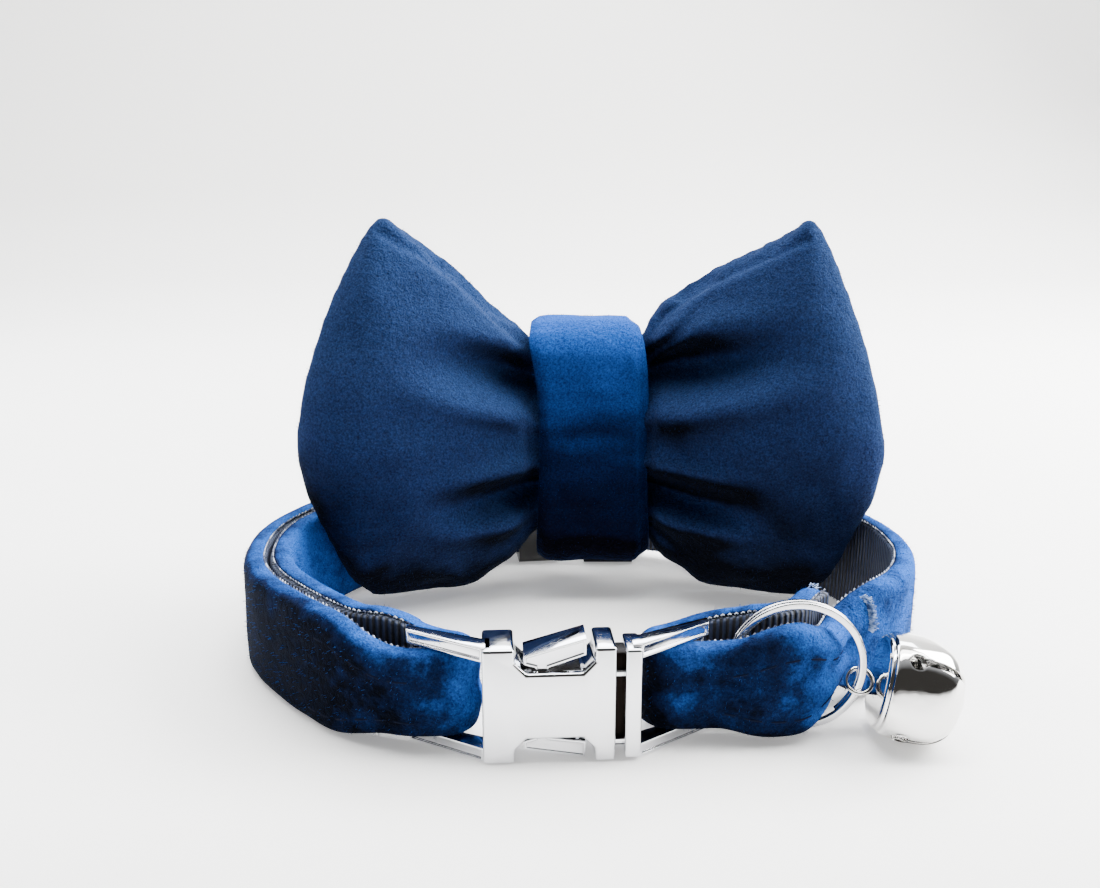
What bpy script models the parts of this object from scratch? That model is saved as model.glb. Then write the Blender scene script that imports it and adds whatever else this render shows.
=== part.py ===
"""Velvet cat collar with a bow tie, a metal side release buckle, a split ring and a bell.

The collar lies closed on a flat surface. +X runs to the right along the buckle, +Y runs from the
buckle to the back of the neck and +Z is up. All lengths are in metres.
"""
import bpy
import bmesh
import math
from mathutils import Matrix, Vector

MM = 0.001

GAP = 0.3 * MM

# Band: a velvet cover over a webbing tape, closed into a loop round the neck
LOOP_WIDTH = 89.1 * MM
LOOP_DEPTH = 67.2 * MM
BAND_WIDTH = 14.5 * MM
WEBBING_THICKNESS = 1.1 * MM
VELVET_THICKNESS = 1.6 * MM
WEBBING_INSET = 0.4 * MM
BAND_THICKNESS = WEBBING_THICKNESS + GAP + VELVET_THICKNESS
ROUTE_STEP = 2.6 * MM
PINCH_RUN = 6.0 * MM
TAIL_LENGTH = 23.0 * MM

# Outer face of the band, seen from above, anticlockwise from the buckle's right bar to its left bar.
# across is a share of half the loop's width and deep a share of its depth; wide is a share of the band.
LOOP_ROUTE = [
    # across, deep, wide
    (0.420, 0.014, 1.00),
    (0.505, 0.019, 0.93),
    (0.572, 0.032, 0.88),
    (0.628, 0.060, 0.70),
    (0.664, 0.098, 0.60),
    (0.696, 0.137, 0.64),
    (0.752, 0.167, 0.86),
    (0.822, 0.199, 1.00),
    (0.903, 0.256, 1.00),
    (0.967, 0.336, 1.00),
    (1.000, 0.430, 1.00),
    (0.985, 0.560, 1.00),
    (0.885, 0.712, 1.00),
    (0.640, 0.842, 1.00),
    (0.390, 0.930, 1.00),
    (0.140, 0.984, 1.00),
    (-0.110, 1.000, 1.00),
    (-0.400, 0.955, 1.00),
    (-0.670, 0.858, 1.00),
    (-0.855, 0.744, 1.00),
    (-0.957, 0.634, 1.00),
    (-0.994, 0.548, 1.00),
    (-1.000, 0.454, 1.00),
    (-0.973, 0.339, 1.00),
    (-0.905, 0.243, 1.00),
    (-0.800, 0.155, 1.00),
    (-0.680, 0.074, 1.00),
    (-0.590, 0.030, 1.00),
]

# Buckle: a socket half on the left, a plug half on the right, joined here
BUCKLE_YAW = math.radians(3.5)
BUCKLE_CENTRE_ACROSS = -2.5 * MM
BUCKLE_PROUD = 2.2 * MM
BUCKLE_HEIGHT = 13.5 * MM
BUCKLE_DEPTH = 5.8 * MM
SLOT_HEIGHT = 10.2 * MM
BUCKLE_EDGE = 0.35 * MM
SOCKET_LENGTH = 14.5 * MM
SOCKET_LEFT_POST = 3.5 * MM
SOCKET_RIGHT_POST = 2.3 * MM
NOTCH_DEPTH = 2.9 * MM
NOTCH_CORNER = 1.3 * MM
PLUG_SPACE = 1.0 * MM
PLUG_LENGTH = 1.8 * MM
PLUG_HEIGHT = 12.9 * MM
PLUG_DEPTH = 4.6 * MM
PRONG_SIZE = 1.4 * MM
PRONG_REACH = 4.6 * MM
PRONG_EDGE_DISTANCE = 1.9 * MM
ARM_REACH = 8.4 * MM
ARM_SWEEP = 5.4 * MM
ARM_SETBACK = 0.7 * MM
ARM_DEPTH = 2.7 * MM
ARM_TIP_SHARE = 0.55
BAR_RADIUS = 0.8 * MM
BAR_FROM_TIP = 1.15 * MM
STRAIGHT_PAST_BAR = 2.2 * MM
RIGHT_TURN = 0.0
LEFT_TURN = math.radians(21.0)
LEVER_DEPTH = 3.8 * MM
LEVER_SETBACK = 0.8 * MM
LEVER_THIN = 0.9 * MM
LEVER_THICK = 1.9 * MM
LEVER_RISE = 0.8 * MM
LEVER_STEM = 1.2 * MM
LEVER_STEM_DEPTH = 1.4 * MM

# Split ring, standing on its edge through the band's fold
RING_PAST_BAND = 0.75 * MM
RING_RADIUS = BAND_WIDTH / 2 + RING_PAST_BAND
RING_WIRE = 0.85 * MM
RING_COIL = 0.62 * MM
RING_CENTRE_ACROSS = LOOP_WIDTH / 2 * 44 / 81
RING_BACK_FROM_FRONT = LOOP_DEPTH * 101 / 1344
RING_TURNS = 1.86

# Bell
BELL_LENGTH = 9.2 * MM
BELL_RADIUS = 6.0 * MM
BELL_WALL = 0.6 * MM
BELL_SLIT = 0.75 * MM
BELL_EYE_RADIUS = 1.5 * MM
BELL_EYE_WIRE = 0.36 * MM
BELL_CENTRE_BACK = 1.6 * MM
BALL_RADIUS = 1.7 * MM

# Bow tie
BOW_SHORT_OF_LOOP = 5.1 * MM
BOW_WIDTH = LOOP_WIDTH - BOW_SHORT_OF_LOOP
BOW_HEIGHT = 56.7 * MM
BOW_THICKNESS = 18.0 * MM
BOW_CENTRE_ACROSS = 2.3 * MM
BOW_SWEEP = 13.5 * MM
BOW_SWEEP_POWER = 1.25
BOW_BACK_SHARE = 0.85
BOW_LEAN = math.radians(6.0)
KNOT_WIDTH = 16.9 * MM
KNOT_HEIGHT = 36.6 * MM
KNOT_DEPTH = 13.6 * MM
KNOT_LIFT = 5.0 * MM
KNOT_THICKNESS = 1.6 * MM
KNOT_BULGE = 0.6 * MM
CREASE_UPPER = 0.72
CREASE_LOWER = 0.22
CREASE_SPREAD = 0.10

# Half of the bow from the knot to its side edge, as shares of half the width, the height and thickness
WING_SECTIONS = [
    # across, bottom, top, thick, crease
    (0.225, 0.120, 0.735, 0.60, 0.14),
    (0.262, 0.088, 0.767, 0.72, 0.16),
    (0.333, 0.049, 0.815, 0.83, 0.17),
    (0.405, 0.018, 0.859, 0.92, 0.15),
    (0.476, 0.005, 0.901, 0.97, 0.12),
    (0.571, 0.001, 0.947, 1.00, 0.08),
    (0.667, 0.000, 0.979, 0.97, 0.04),
    (0.738, 0.004, 1.000, 0.91, 0.02),
    (0.810, 0.030, 0.933, 0.80, 0.00),
    (0.857, 0.105, 0.868, 0.70, 0.00),
    (0.895, 0.255, 0.797, 0.58, 0.00),
    (0.933, 0.302, 0.721, 0.48, 0.00),
    (0.971, 0.355, 0.628, 0.35, 0.00),
    (1.000, 0.435, 0.520, 0.19, 0.00),
]
WING_SIDE_POINTS = 12

# Elastic that holds the bow on the band, and the keeper on the doubled end of the band
ELASTIC_WIDTH = 8.0 * MM
ELASTIC_THICKNESS = 1.0 * MM
ELASTIC_OFFSET = 3.4 * MM
KEEPER_LENGTH = 6.4 * MM
KEEPER_WALL = 0.9 * MM
KEEPER_ACROSS = -6.3 * MM
RETURN_PAST_KEEPER = 1.2 * MM
BACK_LIFT = ELASTIC_THICKNESS + GAP

NAVY = (0.006, 0.024, 0.115, 1.0)
KNOT_BLUE = (0.005, 0.028, 0.16, 1.0)
WEBBING_NAVY = (0.008, 0.012, 0.03, 1.0)
CHROME = (0.78, 0.78, 0.79, 1.0)
BLACK = (0.012, 0.012, 0.014, 1.0)


def clear_scene():
    for item in list(bpy.data.objects):
        bpy.data.objects.remove(item, do_unlink=True)


def material(name, colour, roughness, metallic):
    made = bpy.data.materials.new(name)
    made.use_nodes = True
    shader = made.node_tree.nodes["Principled BSDF"]
    shader.inputs["Base Color"].default_value = colour
    shader.inputs["Roughness"].default_value = roughness
    shader.inputs["Metallic"].default_value = metallic
    return made


def add_object(name, bm, finish, smooth_angle=40.0):
    bmesh.ops.recalc_face_normals(bm, faces=bm.faces)
    mesh = bpy.data.meshes.new(name)
    bm.to_mesh(mesh)
    bm.free()
    mesh.shade_smooth()
    mesh.set_sharp_from_angle(angle=math.radians(smooth_angle))
    mesh.materials.append(finish)
    made = bpy.data.objects.new(name, mesh)
    bpy.context.collection.objects.link(made)
    return made


def smooth_step(value):
    value = min(1.0, max(0.0, value))
    return value * value * (3.0 - 2.0 * value)


def loft(bm, sections, closed_ends=True, closed_path=False):
    """Join rings of points, all of one length, into a tube of quads."""
    rings = []
    for section in sections:
        rings.append([bm.verts.new(point) for point in section])
    count = len(rings[0])
    pairs = list(zip(rings, rings[1:]))
    if closed_path:
        pairs.append((rings[-1], rings[0]))
    for first, second in pairs:
        for index in range(count):
            after = (index + 1) % count
            bm.faces.new((first[index], first[after], second[after], second[index]))
    if closed_ends and not closed_path:
        bm.faces.new(rings[0])
        bm.faces.new(rings[-1])
    return rings


def prism(bm, outline, low, high, axis="Z"):
    """Extrude a flat outline between two heights along Z, or between two depths along Y."""
    if axis == "Z":
        near = [Vector((u, v, low)) for u, v in outline]
        far = [Vector((u, v, high)) for u, v in outline]
    else:
        near = [Vector((u, low, v)) for u, v in outline]
        far = [Vector((u, high, v)) for u, v in outline]
    loft(bm, [near, far])


# Route of the band

def spline(rows, step):
    """Catmull-Rom curve through rows of values, sampled at about one step of length in X and Y."""
    samples = []
    for index in range(len(rows) - 1):
        before = rows[max(index - 1, 0)]
        start = rows[index]
        end = rows[index + 1]
        after = rows[min(index + 2, len(rows) - 1)]
        length = math.hypot(end[0] - start[0], end[1] - start[1])
        pieces = max(2, round(length / step))
        for piece in range(pieces):
            t = piece / pieces
            samples.append(tuple(
                0.5 * (2 * b + (c - a) * t + (2 * a - 5 * b + 4 * c - d) * t * t
                       + (3 * b - a - 3 * c + d) * t * t * t)
                for a, b, c, d in zip(before, start, end, after)))
    samples.append(rows[-1])
    return samples


def buckle_matrix():
    centre = Vector((BUCKLE_CENTRE_ACROSS, -BUCKLE_PROUD, 0.0))
    return Matrix.Translation(centre) @ Matrix.Rotation(BUCKLE_YAW, 4, "Z")


BUCKLE_LENGTH = SOCKET_LENGTH + PLUG_SPACE + PLUG_LENGTH
SOCKET_LEFT = -BUCKLE_LENGTH / 2
SOCKET_RIGHT = SOCKET_LEFT + SOCKET_LENGTH
PLUG_LEFT = SOCKET_RIGHT + PLUG_SPACE
PLUG_RIGHT = PLUG_LEFT + PLUG_LENGTH
BAR_REACH = ARM_REACH - BAR_FROM_TIP
BAR_BACK = ARM_SETBACK + ARM_SWEEP * BAR_REACH / ARM_REACH + ARM_DEPTH / 2
NOSE_FROM_BAR = BAR_REACH - GAP - BAND_THICKNESS
SLOT_WIDTH = SLOT_HEIGHT - 2 * GAP


def bar_place(side):
    """Centre of a strap bar, seen from above, on the left (-1) or right (+1) half."""
    end = SOCKET_LEFT if side < 0 else PLUG_RIGHT
    return Vector((end + side * BAR_REACH, BAR_BACK, 0.0))


def in_loop(point):
    """A point of the buckle's own frame, seen from above in the loop's frame."""
    placed = buckle_matrix() @ point
    return placed.x, placed.y


def row_at_bar(side, turn, past):
    """The outer face beside a bar, where the band leaves the buckle's line by an angle."""
    out = Vector((-math.sin(turn), -math.cos(turn), 0.0))
    along = Vector((math.cos(turn), -math.sin(turn), 0.0))
    cover = BAR_RADIUS + GAP + BAND_THICKNESS
    return in_loop(bar_place(side) + out * cover + along * side * past) + (BAND_WIDTH,)


def band_route():
    """Points of the outer face: x, y and the band's width there."""
    rows = [row_at_bar(1, RIGHT_TURN, 0.0), row_at_bar(1, RIGHT_TURN, STRAIGHT_PAST_BAR)]
    for across, deep, wide in LOOP_ROUTE:
        rows.append((across * LOOP_WIDTH / 2, deep * LOOP_DEPTH, wide * BAND_WIDTH))
    rows.append(row_at_bar(-1, LEFT_TURN, STRAIGHT_PAST_BAR))
    rows.append(row_at_bar(-1, LEFT_TURN, 0.0))
    return spline(rows, ROUTE_STEP)


def side_normal(points, index):
    """Unit vector to the right of the direction of travel, which is outwards on the loop."""
    before = points[max(index - 1, 0)]
    after = points[min(index + 1, len(points) - 1)]
    along = Vector((after[0] - before[0], after[1] - before[1])).normalized()
    return Vector((along.y, -along.x))


def path_lengths(points):
    total = [0.0]
    for first, second in zip(points, points[1:]):
        total.append(total[-1] + math.hypot(second[0] - first[0], second[1] - first[1]))
    return total


def band_section(x, y, wide, free):
    """Width of the band and the height of its lower edge, where free runs from 0 in a slot to 1."""
    width = SLOT_WIDTH + (wide - SLOT_WIDTH) * free
    waist = min(1.0, 2.0 * (BAND_WIDTH - wide) / BAND_WIDTH)
    middle = BAND_WIDTH / 2 + (RING_RADIUS - BAND_WIDTH / 2) * waist
    middle += (BUCKLE_HEIGHT - BAND_WIDTH) / 2 * (1.0 - free)
    lift = BACK_LIFT * smooth_step((y / LOOP_DEPTH - 0.6) / 0.3)
    return x, y, width, max(0.0, lift + middle - width / 2)


def fold_points(bar, side):
    """A U round a bar, from the inner layer to the outer on the right half and back on the left."""
    radius = BAR_RADIUS + GAP
    straight = NOSE_FROM_BAR - radius
    points = []
    for step in range(1, 8):
        angle = math.pi * step / 8
        across = -side * (straight + radius * math.sin(angle))
        back = side * radius * math.cos(angle)
        x, y = in_loop(bar + Vector((across, back, 0.0)))
        points.append(band_section(x, y, BAND_WIDTH, 0.0))
    return points


def band_spine():
    """The whole band as one path along the webbing's free face, with the velvet to its right."""
    outer = band_route()
    lengths = path_lengths(outer)
    total = lengths[-1]
    main = []
    for index, point in enumerate(outer):
        normal = side_normal(outer, index)
        distance = min(lengths[index], total - lengths[index])
        free = smooth_step((distance - BAR_FROM_TIP - GAP) / PINCH_RUN)
        x = point[0] - normal.x * BAND_THICKNESS
        y = point[1] - normal.y * BAND_THICKNESS
        main.append(band_section(x, y, point[2], free))

    bar_space = 2 * (BAR_RADIUS + GAP)
    ring_space = RING_COIL * 2 + 2 * GAP
    tail = []
    for index, point in enumerate(main):
        if lengths[index] > TAIL_LENGTH:
            break
        share = lengths[index] / TAIL_LENGTH
        space = bar_space + (ring_space - bar_space) * smooth_step(share * 3)
        space += (GAP * 1.4 - ring_space) * smooth_step((share - 0.6) / 0.3)
        normal = side_normal(outer, index)
        free = smooth_step((lengths[index] + NOSE_FROM_BAR) / PINCH_RUN)
        x = point[0] - normal.x * space
        y = point[1] - normal.y * space
        tail.append(band_section(x, y, BAND_WIDTH, free))
    tail.reverse()

    keeper_right = KEEPER_ACROSS + KEEPER_LENGTH / 2 + RETURN_PAST_KEEPER
    inner = []
    for index in range(len(main) - 1, -1, -1):
        distance = total - lengths[index]
        space = bar_space + (GAP - bar_space) * smooth_step((distance - BAR_RADIUS) / PINCH_RUN)
        normal = side_normal(outer, index)
        x = main[index][0] - normal.x * space
        y = main[index][1] - normal.y * space
        if y > LOOP_DEPTH / 2 and x > keeper_right:
            break
        if inner and (x - inner[-1][0]) * normal.y - (y - inner[-1][1]) * normal.x < ROUTE_STEP / 2:
            continue
        free = smooth_step((distance + NOSE_FROM_BAR) / PINCH_RUN)
        inner.append(band_section(x, y, BAND_WIDTH, free))

    right_fold = fold_points(bar_place(1), 1)
    left_fold = fold_points(bar_place(-1), -1)
    return tail + right_fold + main + left_fold + inner


def band_layer(name, finish, profile):
    """Sweep a profile of (depth, height from the edge, end) rows along the band's path."""
    spine = band_spine()
    sections = []
    for index, (x, y, width, base) in enumerate(spine):
        normal = side_normal(spine, index)
        ring = []
        for depth, inset, is_top in profile:
            z = base + width - inset if is_top else base + inset
            ring.append(Vector((x + normal.x * depth, y + normal.y * depth, z)))
        sections.append(ring)
    bm = bmesh.new()
    loft(bm, sections)
    return add_object(name, bm, finish)


def build_webbing():
    profile = [
        (0.0, WEBBING_INSET, False),
        (WEBBING_THICKNESS, WEBBING_INSET, False),
        (WEBBING_THICKNESS, WEBBING_INSET, True),
        (0.0, WEBBING_INSET, True),
    ]
    return band_layer("band_webbing", material("woven webbing", WEBBING_NAVY, 0.7, 0.0), profile)


def build_velvet():
    near = WEBBING_THICKNESS + GAP
    roll = VELVET_THICKNESS
    profile = [(near, 0.2 * roll, False)]
    for share, inset in ((0.45, 0.0), (0.85, 0.25), (1.0, 0.9)):
        profile.append((near + share * roll, inset * roll, False))
    for share, inset in ((1.0, 0.9), (0.85, 0.25), (0.45, 0.0)):
        profile.append((near + share * roll, inset * roll, True))
    profile.append((near, 0.2 * roll, True))
    return band_layer("band_velvet", material("velvet", NAVY, 0.85, 0.0), profile)


# Buckle

def bevel_edges(bm, width, segments=1):
    edges = [edge for edge in bm.edges if edge.calc_face_angle(0.0) > math.radians(30)]
    bmesh.ops.bevel(bm, geom=edges, offset=width, segments=segments, profile=0.5, affect="EDGES",
                    clamp_overlap=True)


def mesh_object(name, bm):
    bmesh.ops.recalc_face_normals(bm, faces=bm.faces)
    mesh = bpy.data.meshes.new(name)
    bm.to_mesh(mesh)
    bm.free()
    made = bpy.data.objects.new(name, mesh)
    bpy.context.collection.objects.link(made)
    return made


def combine(base, other, operation):
    """Apply an exact Boolean to base and remove the other object."""
    modifier = base.modifiers.new("combine", "BOOLEAN")
    modifier.operation = operation
    modifier.object = other
    modifier.solver = "EXACT"
    bpy.context.view_layer.objects.active = base
    with bpy.context.temp_override(object=base, active_object=base):
        bpy.ops.object.modifier_apply(modifier="combine")
    bpy.data.objects.remove(other, do_unlink=True)


def arm_outline(root, side):
    """Swept arm seen from above, from the half's end face to its tip."""
    tip = root + side * ARM_REACH
    inside = root - side * BUCKLE_EDGE * 2
    return [
        (inside, ARM_SETBACK),
        (root, ARM_SETBACK),
        (tip, ARM_SETBACK + ARM_SWEEP),
        (tip, ARM_SETBACK + ARM_SWEEP + ARM_DEPTH * ARM_TIP_SHARE),
        (root, ARM_SETBACK + ARM_DEPTH),
        (inside, ARM_SETBACK + ARM_DEPTH),
    ]


def add_arms(half, root, side):
    """Join the two arms and the strap bar between them to a half of the buckle."""
    arm = (BUCKLE_HEIGHT - SLOT_HEIGHT) / 2
    for low in (0.0, BUCKLE_HEIGHT - arm):
        bm = bmesh.new()
        prism(bm, arm_outline(root, side), low, low + arm)
        bevel_edges(bm, BUCKLE_EDGE * 0.6)
        combine(half, mesh_object("arm", bm), "UNION")
    bm = bmesh.new()
    centre = Vector((root + side * BAR_REACH, BAR_BACK, BUCKLE_HEIGHT / 2))
    bmesh.ops.create_cone(bm, cap_ends=True, segments=12, radius1=BAR_RADIUS, radius2=BAR_RADIUS,
                          depth=BUCKLE_HEIGHT - arm, matrix=Matrix.Translation(centre))
    combine(half, mesh_object("bar", bm), "UNION")


def finish_buckle_piece(piece, chrome):
    piece.data.transform(buckle_matrix())
    piece.data.materials.clear()
    piece.data.materials.append(chrome)
    piece.data.shade_smooth()
    piece.data.set_sharp_from_angle(angle=math.radians(30))
    return piece


def socket_outline():
    low = NOTCH_DEPTH
    high = BUCKLE_HEIGHT - NOTCH_DEPTH
    left = SOCKET_LEFT + SOCKET_LEFT_POST
    right = SOCKET_RIGHT - SOCKET_RIGHT_POST
    corner = NOTCH_CORNER
    return [
        (SOCKET_LEFT, 0.0), (left, 0.0), (left, low - corner), (left + corner, low),
        (right - corner, low), (right, low - corner), (right, 0.0), (SOCKET_RIGHT, 0.0),
        (SOCKET_RIGHT, BUCKLE_HEIGHT), (right, BUCKLE_HEIGHT), (right, high + corner),
        (right - corner, high), (left + corner, high), (left, high + corner),
        (left, BUCKLE_HEIGHT), (SOCKET_LEFT, BUCKLE_HEIGHT),
    ]


def box_object(name, low, high):
    bm = bmesh.new()
    outline = [(low[0], low[1]), (high[0], low[1]), (high[0], high[1]), (low[0], high[1])]
    prism(bm, outline, low[2], high[2])
    return mesh_object(name, bm)


def build_socket(chrome):
    bm = bmesh.new()
    prism(bm, socket_outline(), 0.0, BUCKLE_DEPTH, axis="Y")
    bevel_edges(bm, BUCKLE_EDGE)
    socket = mesh_object("buckle_socket", bm)
    add_arms(socket, SOCKET_LEFT, -1)
    middle = BUCKLE_DEPTH / 2
    half = PRONG_SIZE / 2 + GAP
    for height in prong_heights():
        low = (SOCKET_RIGHT - PRONG_REACH - GAP, middle - half, height - half)
        high = (SOCKET_RIGHT + BUCKLE_EDGE, middle + half, height + half)
        combine(socket, box_object("prong_hole", low, high), "DIFFERENCE")
    stem = LEVER_STEM / 2 + GAP
    front = LEVER_SETBACK - GAP
    back = LEVER_SETBACK + LEVER_DEPTH + GAP
    for low_z, high_z in lever_stem_pockets():
        low = (lever_stem_x() - stem, front, low_z)
        high = (lever_stem_x() + stem, back, high_z)
        combine(socket, box_object("lever_hole", low, high), "DIFFERENCE")
    return finish_buckle_piece(socket, chrome)


def prong_heights():
    return (NOTCH_DEPTH + PRONG_EDGE_DISTANCE, BUCKLE_HEIGHT - NOTCH_DEPTH - PRONG_EDGE_DISTANCE)


def lever_stem_x():
    return SOCKET_LEFT + SOCKET_LEFT_POST + NOTCH_CORNER + LEVER_STEM


def lever_stem_pockets():
    low = NOTCH_DEPTH + LEVER_STEM_DEPTH + GAP
    high = BUCKLE_HEIGHT - NOTCH_DEPTH - LEVER_STEM_DEPTH - GAP
    edge = BUCKLE_EDGE
    return ((NOTCH_DEPTH - edge, low), (high, BUCKLE_HEIGHT - NOTCH_DEPTH + edge))


def build_lever(name, chrome, upper):
    """A wedge that rocks in the notch on a stem and stands proud at its thick end."""
    left = SOCKET_LEFT + SOCKET_LEFT_POST + GAP + NOTCH_CORNER * 0.45
    right = SOCKET_RIGHT - SOCKET_RIGHT_POST - GAP - NOTCH_CORNER * 0.45
    floor = BUCKLE_HEIGHT - NOTCH_DEPTH + GAP + BUCKLE_EDGE
    stem = LEVER_STEM / 2
    x = lever_stem_x()
    root = floor - GAP - BUCKLE_EDGE - LEVER_STEM_DEPTH
    top = BUCKLE_HEIGHT + (LEVER_RISE if upper else 0.0)
    if not upper:
        top -= 0.05 * MM
    rise = top - LEVER_THICK
    outline = [
        (left, floor + 0.25 * NOTCH_CORNER), (x - stem, floor), (x - stem, root), (x + stem, root),
        (x + stem, floor), (right, rise), (right, top), (left, floor + 0.25 * NOTCH_CORNER + LEVER_THIN),
    ]
    if not upper:
        outline = [(u, BUCKLE_HEIGHT - v) for u, v in outline]
    bm = bmesh.new()
    prism(bm, outline, LEVER_SETBACK, LEVER_SETBACK + LEVER_DEPTH, axis="Y")
    lever = mesh_object(name, bm)
    return finish_buckle_piece(lever, chrome)


def build_plug(chrome):
    low = (BUCKLE_HEIGHT - PLUG_HEIGHT) / 2
    bm = bmesh.new()
    outline = [(PLUG_LEFT, low), (PLUG_RIGHT, low), (PLUG_RIGHT, low + PLUG_HEIGHT),
               (PLUG_LEFT, low + PLUG_HEIGHT)]
    prism(bm, outline, 0.0, PLUG_DEPTH, axis="Y")
    bevel_edges(bm, BUCKLE_EDGE)
    plug = mesh_object("buckle_plug", bm)
    add_arms(plug, PLUG_RIGHT, 1)
    middle = BUCKLE_DEPTH / 2
    half = PRONG_SIZE / 2
    for height in prong_heights():
        low_corner = (SOCKET_RIGHT - PRONG_REACH, middle - half, height - half)
        high_corner = (PLUG_LEFT + BUCKLE_EDGE * 2, middle + half, height + half)
        combine(plug, box_object("prong", low_corner, high_corner), "UNION")
    return finish_buckle_piece(plug, chrome)


# Ring and bell

def ring_centre():
    return Vector((RING_CENTRE_ACROSS, RING_BACK_FROM_FRONT, RING_RADIUS + 0.02 * MM))


def build_ring(chrome):
    """A flat wire wound nearly twice round, the second turn lying behind the first."""
    centre = ring_centre()
    steps = 64
    start = math.radians(-112)
    inner = RING_RADIUS - RING_WIRE
    overlap_start = (RING_TURNS - 1.0) / RING_TURNS
    step_length = 1.0 / RING_TURNS - overlap_start
    sections = []
    for step in range(steps + 1):
        share = step / steps
        angle = start - share * RING_TURNS * 2 * math.pi
        shift = RING_COIL * 1.1 * (smooth_step((share - overlap_start) / step_length) - 0.5)
        across = Vector((math.cos(angle), 0.0, math.sin(angle)))
        near = Vector((0.0, shift - RING_COIL * 0.46, 0.0))
        far = Vector((0.0, shift + RING_COIL * 0.46, 0.0))
        middle = (inner + RING_RADIUS) / 2
        sections.append([
            centre + across * inner + (near + far) / 2,
            centre + across * middle + near,
            centre + across * RING_RADIUS + (near + far) / 2,
            centre + across * middle + far,
        ])
    bm = bmesh.new()
    loft(bm, sections)
    return add_object("split_ring", bm, chrome, 60.0)


def bell_axis_point(along):
    """A point on the bell's axis, measured from the face of its cap towards its tip."""
    eye = ring_centre() + Vector((RING_RADIUS - RING_WIRE / 2, 0.0, 0.0))
    start = eye.x + BELL_EYE_RADIUS - BELL_EYE_WIRE * 0.2
    return Vector((start + along, eye.y - BELL_CENTRE_BACK, BELL_RADIUS + 0.02 * MM))


def petal_radius(angle, share, radius):
    """A rounded square across the axis, squarer in the middle and round at both ends."""
    square = 1.0 / max(abs(math.cos(angle)), abs(math.sin(angle)))
    squareness = 0.30 * math.sin(math.pi * share)
    corner = 1.0 + (min(square, 1.22) - 1.0) * squareness
    return radius * corner / (1.0 + 0.22 * squareness)


def bell_surface(length, radius, offset):
    """Rings of points from the cap to the tip: flat shouldered at the cap, domed at the tip."""
    rows = [(0.0, 0.42), (0.03, 0.74), (0.12, 0.93), (0.30, 1.0), (0.52, 1.0), (0.70, 0.93),
            (0.85, 0.76), (0.94, 0.52), (0.985, 0.26)]
    sections = []
    for along, wide in rows:
        ring = []
        for step in range(20):
            angle = 2 * math.pi * (step + 0.5) / 20
            out = petal_radius(angle, along, radius * wide)
            centre = bell_axis_point(offset + along * length)
            ring.append(centre + Vector((0.0, math.cos(angle) * out, math.sin(angle) * out)))
        sections.append(ring)
    return sections


def build_bell(chrome):
    bm = bmesh.new()
    loft(bm, bell_surface(BELL_LENGTH, BELL_RADIUS, 0.0))
    bell = mesh_object("bell_shell", bm)
    bm = bmesh.new()
    loft(bm, bell_surface(BELL_LENGTH - 2 * BELL_WALL, BELL_RADIUS - BELL_WALL, BELL_WALL))
    combine(bell, mesh_object("bell_hollow", bm), "DIFFERENCE")
    tip = bell_axis_point(BELL_LENGTH)
    half = BELL_SLIT / 2
    reach = BELL_LENGTH * 0.52
    for turn in (math.radians(45), math.radians(135)):
        bm = bmesh.new()
        bmesh.ops.create_cube(bm, size=1.0)
        matrix = Matrix.Translation(tip) @ Matrix.Rotation(turn, 4, "X")
        matrix = matrix @ Matrix.Diagonal((2 * reach, 2.6 * BELL_RADIUS, 2 * half, 1.0))
        bmesh.ops.transform(bm, matrix=matrix, verts=bm.verts)
        combine(bell, mesh_object("slit", bm), "DIFFERENCE")
    add_bell_eye(bell)
    bell.data.materials.append(chrome)
    bell.data.shade_smooth()
    bell.data.set_sharp_from_angle(angle=math.radians(35))
    return bell


def add_bell_eye(bell):
    """The wire eye on the cap, closed round the split ring."""
    centre = ring_centre() + Vector((RING_RADIUS - RING_WIRE / 2, 0.0, 0.0))
    tilt = math.radians(-38)
    sections = []
    for step in range(16):
        angle = 2 * math.pi * step / 16
        out = Vector((math.cos(angle), math.sin(angle), 0.0))
        up = Vector((0.0, 0.0, 1.0))
        turn = Matrix.Rotation(tilt, 3, "X")
        ring = []
        for side in range(6):
            around = 2 * math.pi * side / 6
            local = out * (BELL_EYE_RADIUS + BELL_EYE_WIRE * math.cos(around))
            local = local + up * BELL_EYE_WIRE * math.sin(around)
            ring.append(centre + turn @ local)
        sections.append(ring)
    bm = bmesh.new()
    loft(bm, sections, closed_path=True)
    combine(bell, mesh_object("eye", bm), "UNION")
    start = centre + Vector((BELL_EYE_RADIUS, 0.0, 0.0))
    low = (start.x - BELL_EYE_WIRE * 0.4, start.y - 3.0 * BELL_EYE_WIRE, start.z - 2.4 * BELL_EYE_WIRE)
    high = (start.x + BELL_WALL * 1.2, start.y + 1.4 * BELL_EYE_WIRE, start.z + 1.4 * BELL_EYE_WIRE)
    combine(bell, box_object("eye_root", low, high), "UNION")


def build_ball(chrome):
    bm = bmesh.new()
    middle = bell_axis_point(BELL_LENGTH * 0.45)
    middle.z = BELL_WALL + BALL_RADIUS + 2 * GAP
    bmesh.ops.create_icosphere(bm, subdivisions=2, radius=BALL_RADIUS,
                               matrix=Matrix.Translation(middle))
    return add_object("bell_ball", bm, chrome, 60.0)


# Bow tie

def bow_centre():
    """Middle of the knot, set so that the knot's back clears the elastic on the band."""
    route = band_route()
    x = BOW_CENTRE_ACROSS
    back = max(point[1] for point in route if abs(point[0] - x) < BAND_WIDTH)
    layers = 2 * BAND_THICKNESS + GAP + KEEPER_WALL + 2 * GAP + ELASTIC_THICKNESS
    return Vector((x, back - layers - KNOT_DEPTH / 2, KNOT_LIFT + KNOT_HEIGHT / 2))


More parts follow.
